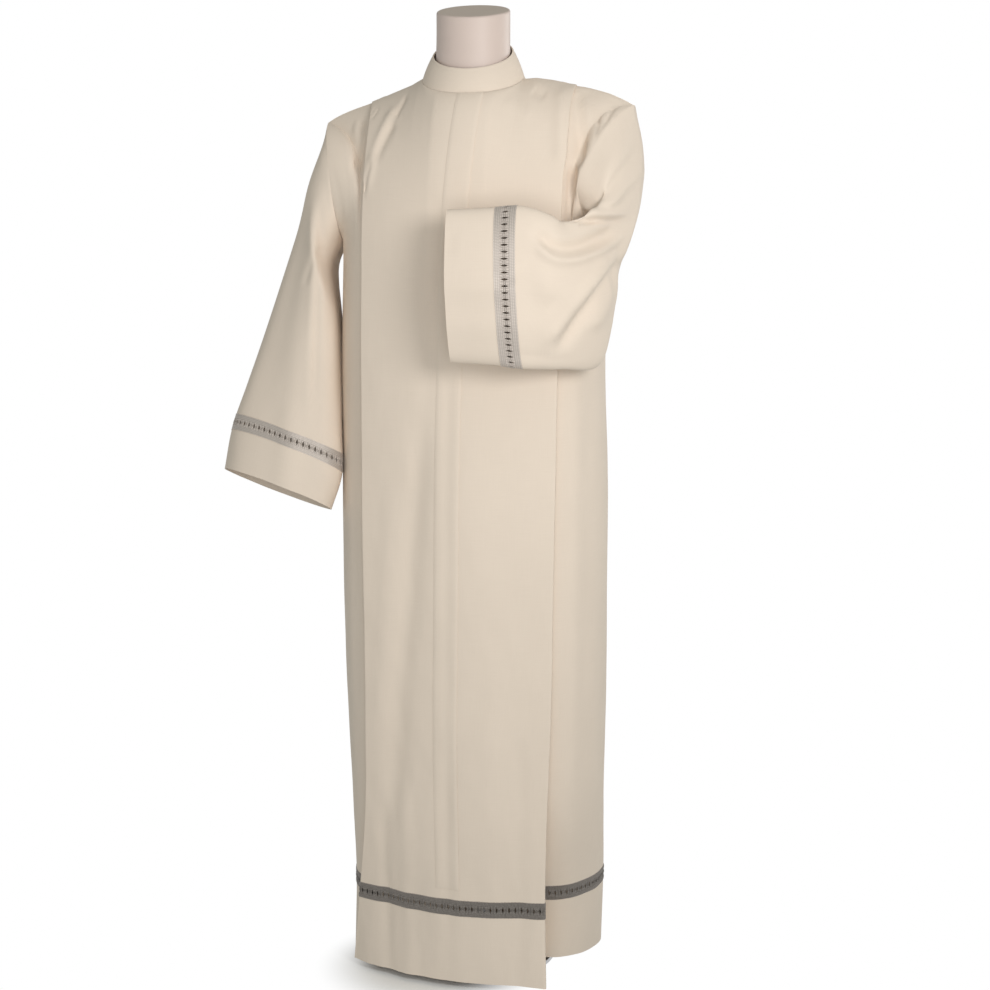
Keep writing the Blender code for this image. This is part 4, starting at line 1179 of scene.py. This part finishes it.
def closed_rings(name, grid, materials, cap_ring=None):
    """A solid through level rings of points, closed by a flat face at each end.

    From the ring cap_ring upward it has the second material.
    """
    rings, sides = grid.shape[:2]
    index = numbered(rings, sides)
    quads = quads_of(wrapped(index)).tolist()
    faces = quads + [index[0, ::-1].tolist(), index[-1].tolist()]
    marks = np.zeros(len(faces), int)
    if cap_ring is not None:
        marks[cap_ring * sides:len(quads)] = 1
        marks[-1] = 1
    return mesh_object(name, grid.reshape(-1, 3), faces, materials, None, 40, marks)


def revolved(name, profile, material, sides):
    """A profile of radii and heights carried round the pole's axis, closed at both ends."""
    turn = full_turn(sides)
    radius, height = np.array(profile).T[:, :, None]
    grid = np.stack([radius * np.cos(turn), POLE_BACK + radius * np.sin(turn), height + 0 * turn], -1)
    return closed_rings(name, grid, [material])


def pole_profile():
    """A tube that is a little thicker at both ends, with softened steps."""
    low = BASE_THICKNESS + 0.3 * MM
    high = FORM_LEVELS[0][0] - 0.3 * MM
    end = 5 * MM
    thin = POLE_RADIUS * 0.97
    return (
        (POLE_RADIUS * 0.94, low), (POLE_RADIUS, low + 0.7 * MM), (POLE_RADIUS, low + end),
        (thin, low + end + 0.4 * MM), (thin, high - end), (POLE_RADIUS, high - end + 0.4 * MM),
        (POLE_RADIUS, high))


def base_profile():
    """A flat disc with rounded edges."""
    return (
        (BASE_RADIUS - 1 * MM, 0.0), (BASE_RADIUS, 1 * MM), (BASE_RADIUS, BASE_THICKNESS - 2 * MM),
        (BASE_RADIUS - 0.6 * MM, BASE_THICKNESS - 0.6 * MM), (BASE_RADIUS - 2.2 * MM, BASE_THICKNESS),
        (40 * MM, BASE_THICKNESS))


def form_surface(sides=96):
    """Level rings of the torso and neck: ovals whose sides are drawn to points along the shoulders.

    A ring's x and y are a cosine and a sine, each raised to the ring's sharpness. The neck's top is a
    sloping oval with a rounded edge. The second result is the ring where the top starts.
    """
    rows = [list(level) for level in FORM_LEVELS]
    for width, depth, under in FORM_RIDGE:
        ridge = shoulder_seam(-1, width, under)
        rows.append([ridge[2], width, depth, ridge[1], RIDGE_SHARPNESS])
    rows = np.array(rows + [list(level) for level in NECK_LEVELS])
    places = np.linspace(0, len(rows) - 1, (len(rows) - 1) * 4 + 1)
    height, width, depth, middle, sharp = (
        np.interp(places, np.arange(len(rows)), column)[:, None] for column in rows.T)
    turn = full_turn(sides)
    cosine, sine = np.cos(turn), np.sin(turn)
    x = width * np.sign(cosine) * np.abs(cosine) ** sharp
    y = middle + depth * np.sign(sine) * np.abs(sine) ** sharp
    grid = np.stack([x, y, height + 0 * turn], -1)
    inset, drop = np.array(NECK_TOP_RINGS).T[:, :, None] * NECK_TOP_ROUND
    x = (rows[-1][1] - inset) * cosine
    y = NECK_TOP_Y + (rows[-1][2] - inset) * sine
    top = np.stack([x, y, NECK_TOP_HEIGHT + NECK_TOP_SLOPE * y - drop], -1)
    return np.concatenate([grid, top]), len(grid) + 3


# ---------------------------------------------------------------- the stage


def make_floor(settings):
    """A wide round floor: rings whose radius grows. It fades from its own colour to white round the stand."""
    turn = full_turn(128)
    radius = np.array(FLOOR_RINGS)[:, None]
    grid = np.stack([radius * np.cos(turn), radius * np.sin(turn), 0 * radius * turn], -1)
    material, tree, shader = nodes_of("pale_floor")
    place = object_place(tree)
    grain = noise(tree, place, 60.0, 3.0, 0.5)
    connect(tree, shader, {
        "Base Color": mixed(tree, grain, toned(settings.floor, 0.985), tuple(settings.floor)),
        "Roughness": 0.9,
        "Specular IOR Level": 0.1,
    })
    away = added(tree, "VectorMath", {0: place}, operation="LENGTH").outputs["Value"]
    reach = {"Value": away, "From Min": FLOOR_FADE[0], "From Max": FLOOR_FADE[1]}
    fade = added(tree, "MapRange", reach, interpolation_type="SMOOTHSTEP").outputs[0]
    white = added(tree, "Emission", {"Strength": 1.0}).outputs[0]
    blend = added(tree, "MixShader", {"Fac": fade, 1: shader.outputs[0], 2: white}).outputs[0]
    connect(tree, tree.nodes["Material Output"], {"Surface": blend})
    index = numbered(*grid.shape[:2])
    faces = quads_of(wrapped(index))[:, REVERSED].tolist() + [index[0].tolist()]
    floor = mesh_object("floor", grid.reshape(-1, 3), faces, [material])
    floor.visible_diffuse = False


def make_world(settings):
    """A white room: white to the camera, and a softer even light on everything else."""
    world = bpy.data.worlds.new("white_room")
    bpy.context.scene.world = world
    world.use_nodes = True
    tree = world.node_tree
    tree.nodes.clear()
    seen = added(tree, "LightPath").outputs["Is Camera Ray"]
    white = added(tree, "Background", {"Color": (1.0, 1.0, 1.0, 1.0), "Strength": 1.0}).outputs[0]
    soft = added(tree, "Background", {"Color": ROOM_COLOUR, "Strength": settings.ambient}).outputs[0]
    blend = added(tree, "MixShader", {"Fac": seen, 1: soft, 2: white}).outputs[0]
    added(tree, "OutputWorld", {"Surface": blend})


def soft_light(name, place, height, size, power, colour):
    """A round soft light that faces the stand's middle line at a height."""
    data = bpy.data.lights.new(name, "AREA")
    data.shape = "DISK"
    data.size = size
    data.energy = power
    data.color = colour
    item = linked(bpy.data.objects.new(name, data))
    x, y, z = (0.0, 0.0, height) - np.array(place)
    item.location = place + STAND
    item.rotation_euler = (np.pi / 2 + np.arctan2(z, np.hypot(x, y)), 0, np.arctan2(-x, y))


def make_lights(settings):
    """A soft key on the wearer's left, a wider, weaker light in front and another behind."""
    for name, place, height, size, power, colour in LIGHTS:
        soft_light(name, place, height, size, getattr(settings, power), colour)


def make_camera(settings):
    """The camera to the wearer's left of the front, a little above the shoulders, tilted down."""
    data = bpy.data.cameras.new("camera")
    data.lens = settings.lens
    data.sensor_width = SENSOR_WIDTH
    item = linked(bpy.data.objects.new("camera", data))
    sine, cosine = np.sin(CAMERA_AZIMUTH), np.cos(CAMERA_AZIMUTH)
    x = CAMERA_ASIDE * cosine + CAMERA_DISTANCE * sine
    y = CAMERA_ASIDE * sine - CAMERA_DISTANCE * cosine
    item.location = np.array([x, y, CAMERA_HEIGHT]) + STAND
    item.rotation_euler = (np.pi / 2 - CAMERA_TILT, 0, CAMERA_AZIMUTH)
    bpy.context.scene.camera = item


# ---------------------------------------------------------------- settings


def number_setting(name, description, default, **kind):
    """A number that the panel shows."""
    return bpy.props.FloatProperty(name=name, description=description, default=default, **kind)


def length_setting(name, description, default):
    """A length that the panel shows."""
    return number_setting(name, description, default, unit="LENGTH")


def colour_setting(name, description, *default):
    """A colour that the panel shows."""
    return bpy.props.FloatVectorProperty(
        name=name, description=description, default=(*default, 1.0), size=4, subtype="COLOR")


class AlbCloth(bpy.types.PropertyGroup):
    """The robe's cloth"""

    thickness: length_setting("Cloth thickness", "Thickness of one layer of the cloth", 1.0 * MM)
    fold_depth: number_setting("Fold depth", "How strongly the cloth creases, 1 as worn", 1.0)
    thread_pitch: length_setting("Thread pitch", "Distance between two threads of the weave", 0.55 * MM)
    colour: colour_setting("Cloth colour", "Lighter colour of the ivory threads", 0.855, 0.735, 0.625)
    shade: colour_setting("Thread shade", "Darker colour of the ivory threads", 0.755, 0.640, 0.530)


class AlbGimp(bpy.types.PropertyGroup):
    """The openwork gimp"""

    cell: length_setting("Rung pitch", "Length of gimp for each rung of its ladder", 10.2 * MM)
    thread: length_setting("Thread", "Thickness of a thread of the ladder", 1.05 * MM)
    waist: length_setting("Waist", "Distance between threads where a rung is drawn in", 1.5 * MM)
    band_height: length_setting("Edge thickness", "How far the edge bands stand off the cloth", 1.1 * MM)
    scallop: number_setting("Scallop", "Share of the width that the edge's scallops stand out", 0.045)
    thread_light: colour_setting("Light thread", "Lighter silver-grey of the gimp", 0.765, 0.680, 0.615)
    thread_dark: colour_setting("Dark thread", "Darker silver-grey of the gimp", 0.295, 0.258, 0.226)
    # Painted shade: the hem's gimp is drawn in the cuffs' thread colours darkened by this tone.
    hem_painted_shade: number_setting("Hem tone", "How dark the hem's gimp is beside that of the cuffs", 0.375)


class AlbForm(bpy.types.PropertyGroup):
    """The dress form"""

    shell: colour_setting("Shell colour", "Colour of the form's moulded shell", 0.70, 0.575, 0.515)
    cap: colour_setting("Neck top", "Colour of the flat top of the neck", 0.685, 0.565, 0.475)
    steel: colour_setting("Steel colour", "Colour of the pole and the base", 0.55, 0.55, 0.56)


class AlbStage(bpy.types.PropertyGroup):
    """The floor, the light and the camera"""

    lens: number_setting("Lens", "Focal length on a 36 mm sensor", 80.0, subtype="DISTANCE_CAMERA")
    key_power: number_setting("Key light", "Power of the large soft light", 17.5, subtype="POWER")
    fill_power: number_setting("Front light", "Power of the wide soft light in front", 14.5, subtype="POWER")
    back_power: number_setting("Back light", "Power of the soft light behind", 14.0, subtype="POWER")
    ambient: number_setting("Ambient", "Strength of the even light of the room", 0.42)
    floor: colour_setting("Floor colour", "Colour of the plain floor", 0.90, 0.89, 0.875)


# ---------------------------------------------------------------- operators


class AlbStep(bpy.types.Operator):
    """One step of the alb"""

    bl_options = {"REGISTER", "UNDO"}


class AlbMakeForm(AlbStep):
    """Build the limbless torso with its neck, the pole and the round base"""

    bl_idname = "alb.make_form"
    bl_label = "Dress form"

    def execute(self, context):
        settings = context.scene.alb_form
        shell = form_shell("form_shell", settings.shell)
        cap = form_shell("neck_top", settings.cap)
        steel = brushed_steel("brushed_steel", settings.steel)
        grid, top = form_surface()
        placed(closed_rings("dress_form_torso", grid, [shell, cap], top), "form_torso")
        placed(revolved("dress_form_pole", pole_profile(), steel, 64), "form_pole")
        placed(revolved("dress_form_base", base_profile(), steel, 128), "form_base")
        return {"FINISHED"}


class AlbMakeFronts(AlbStep):
    """Build the two front panels with their pressed pleats, from the gimp's seam to the shoulders"""

    bl_idname = "alb.make_fronts"
    bl_label = "Front panels"

    def execute(self, context):
        for side, label in SIDES:
            grid, bands = body_surface("front", side, context.scene.alb_cloth.fold_depth)
            grid = grid[bands[1]:, ::side]
            sewn(f"{label}_front_panel", grid, f"front_{label}", "draped", ["form_torso"])
        return {"FINISHED"}


class AlbMakeBack(AlbStep):
    """Build the back with its pressed pleats"""

    bl_idname = "alb.make_back"
    bl_label = "Back"

    def execute(self, context):
        grid, bands = both_halves("back", context.scene.alb_cloth.fold_depth)
        sewn("back_panel", grid[bands[1]:], "back", "draped", ["form_torso"])
        return {"FINISHED"}


class AlbMakePlacket(AlbStep):
    """Build the strip over the centre front closing"""

    bl_idname = "alb.make_placket"
    bl_label = "Placket"

    def execute(self, context):
        grid = placket_surface(context.scene.alb_cloth.fold_depth)
        fronts = ["left_front_panel", "right_front_panel"]
        sewn("front_placket", grid, "placket", "laid", fronts, PLACKET_THICKNESS)
        return {"FINISHED"}


class AlbMakeCollar(AlbStep):
    """Build the stand collar"""

    bl_idname = "alb.make_collar"
    bl_label = "Collar"

    def execute(self, context):
        thickness = context.scene.alb_cloth.thickness * COLLAR_LAYERS
        sewn("stand_collar", collar_surface(), "collar", "folded", ["form_torso"], thickness, closed=True)
        return {"FINISHED"}


class AlbMakeSleeves(AlbStep):
    """Build both sleeves and the plain cuff below each band of gimp"""

    bl_idname = "alb.make_sleeves"
    bl_label = "Sleeves and cuffs"

    def execute(self, context):
        for side, label in SIDES:
            grid, marks = sleeve_surface(side, context.scene.alb_cloth.fold_depth)
            tube = {"closed": True, "flip": side > 0}
            rests_on = [f"front_{label}", "back"]
            sewn(f"{label}_sleeve", grid[:marks[0] + 1], f"sleeve_{label}", "hung", rests_on, **tube)
            sewn(f"{label}_cuff", grid[marks[1]:], f"cuff_{label}", "hung", [f"sleeve_{label}"], **tube)
        return {"FINISHED"}


class AlbMakeHem(AlbStep):
    """Build the plain bands below the gimp at the hem"""

    bl_idname = "alb.make_hem"
    bl_label = "Hem bands"

    def execute(self, context):
        for face in ("front", "back"):
            whole, bands = both_halves(face, context.scene.alb_cloth.fold_depth)
            grid = whole[:bands[0] + 1]
            sewn(f"{face}_hem_band", grid, f"hem_band_{face}", "hung", [f"hem_trim_{face}"])
        return {"FINISHED"}


class AlbMakeGimp(AlbStep):
    """Build the six lengths of openwork gimp at the hem and the cuffs"""

    bl_idname = "alb.make_gimp"
    bl_label = "Openwork gimp"

    def execute(self, context):
        depth = context.scene.alb_cloth.fold_depth
        settings = context.scene.alb_gimp
        for face in ("front", "back"):
            whole, (low, high) = both_halves(face, depth)
            # The hem's gimp takes its colours darkened by the painted shade tone; the cuffs' gimp below keeps
            # tone 1.
            item = gimp(f"{face}_hem_gimp", whole[low], whole[high], settings.hem_painted_shade, settings)
            placed(item, f"hem_trim_{face}")
        half = SLEEVE_COLUMNS // 2
        for side, label in SIDES:
            grid, marks = sleeve_surface(side, depth)
            rings = np.roll(grid[marks, :-1], -round(CUFF_TOP[side] * SLEEVE_COLUMNS), axis=1)
            rings = np.concatenate([rings, rings[:, :1]], 1)
            for name, part in (("front", slice(0, half + 1)), ("back", slice(half, None))):
                upper, lower = rings[:, part][:, ::-side]
                item = gimp(f"{label}_cuff_gimp_{name}", lower, upper, 1, settings)
                placed(item, f"cuff_trim_{label}_{name}")
        return {"FINISHED"}


class AlbMakeStage(AlbStep):
    """Build the floor, the lights, the room's even light and the camera"""

    bl_idname = "alb.make_stage"
    bl_label = "Stage"

    def execute(self, context):
        settings = context.scene.alb_stage
        make_floor(settings)
        make_world(settings)
        make_lights(settings)
        make_camera(settings)
        context.scene.view_settings.view_transform = "Standard"
        return {"FINISHED"}


class AlbPanel(bpy.types.Panel):
    """Lists the steps of the alb"""

    bl_idname = "VIEW3D_PT_alb"
    bl_label = "Alb"
    bl_space_type = "VIEW_3D"
    bl_region_type = "UI"
    bl_category = "Alb"

    def draw(self, context):
        for name in ("alb_cloth", "alb_gimp", "alb_form", "alb_stage"):
            box = self.layout.box()
            settings = getattr(context.scene, name)
            for key in settings.__annotations__:
                box.prop(settings, key)
        for step in STEPS:
            self.layout.operator(step.bl_idname)


STEPS = (
    AlbMakeForm, AlbMakeFronts, AlbMakeBack, AlbMakePlacket, AlbMakeCollar, AlbMakeSleeves, AlbMakeHem,
    AlbMakeGimp, AlbMakeStage,
)
GROUPS = {"alb_cloth": AlbCloth, "alb_gimp": AlbGimp, "alb_form": AlbForm, "alb_stage": AlbStage}


def register():
    """Makes the settings, the operators and the panel known."""
    for group in (*GROUPS.values(), *STEPS, AlbPanel):
        bpy.utils.register_class(group)
    for name, group in GROUPS.items():
        setattr(bpy.types.Scene, name, bpy.props.PointerProperty(type=group))


def unregister():
    """Takes all of them away again."""
    for name in GROUPS:
        delattr(bpy.types.Scene, name)
    for group in (AlbPanel, *reversed(STEPS), *reversed(GROUPS.values())):
        bpy.utils.unregister_class(group)


def main():
    """Builds the alb and its stage."""
    register()
    bpy.ops.alb.make_form()
    bpy.ops.alb.make_fronts()
    bpy.ops.alb.make_back()
    bpy.ops.alb.make_placket()
    bpy.ops.alb.make_collar()
    bpy.ops.alb.make_sleeves()
    bpy.ops.alb.make_hem()
    bpy.ops.alb.make_gimp()
    bpy.ops.alb.make_stage()


if __name__ == "__main__":
    main()
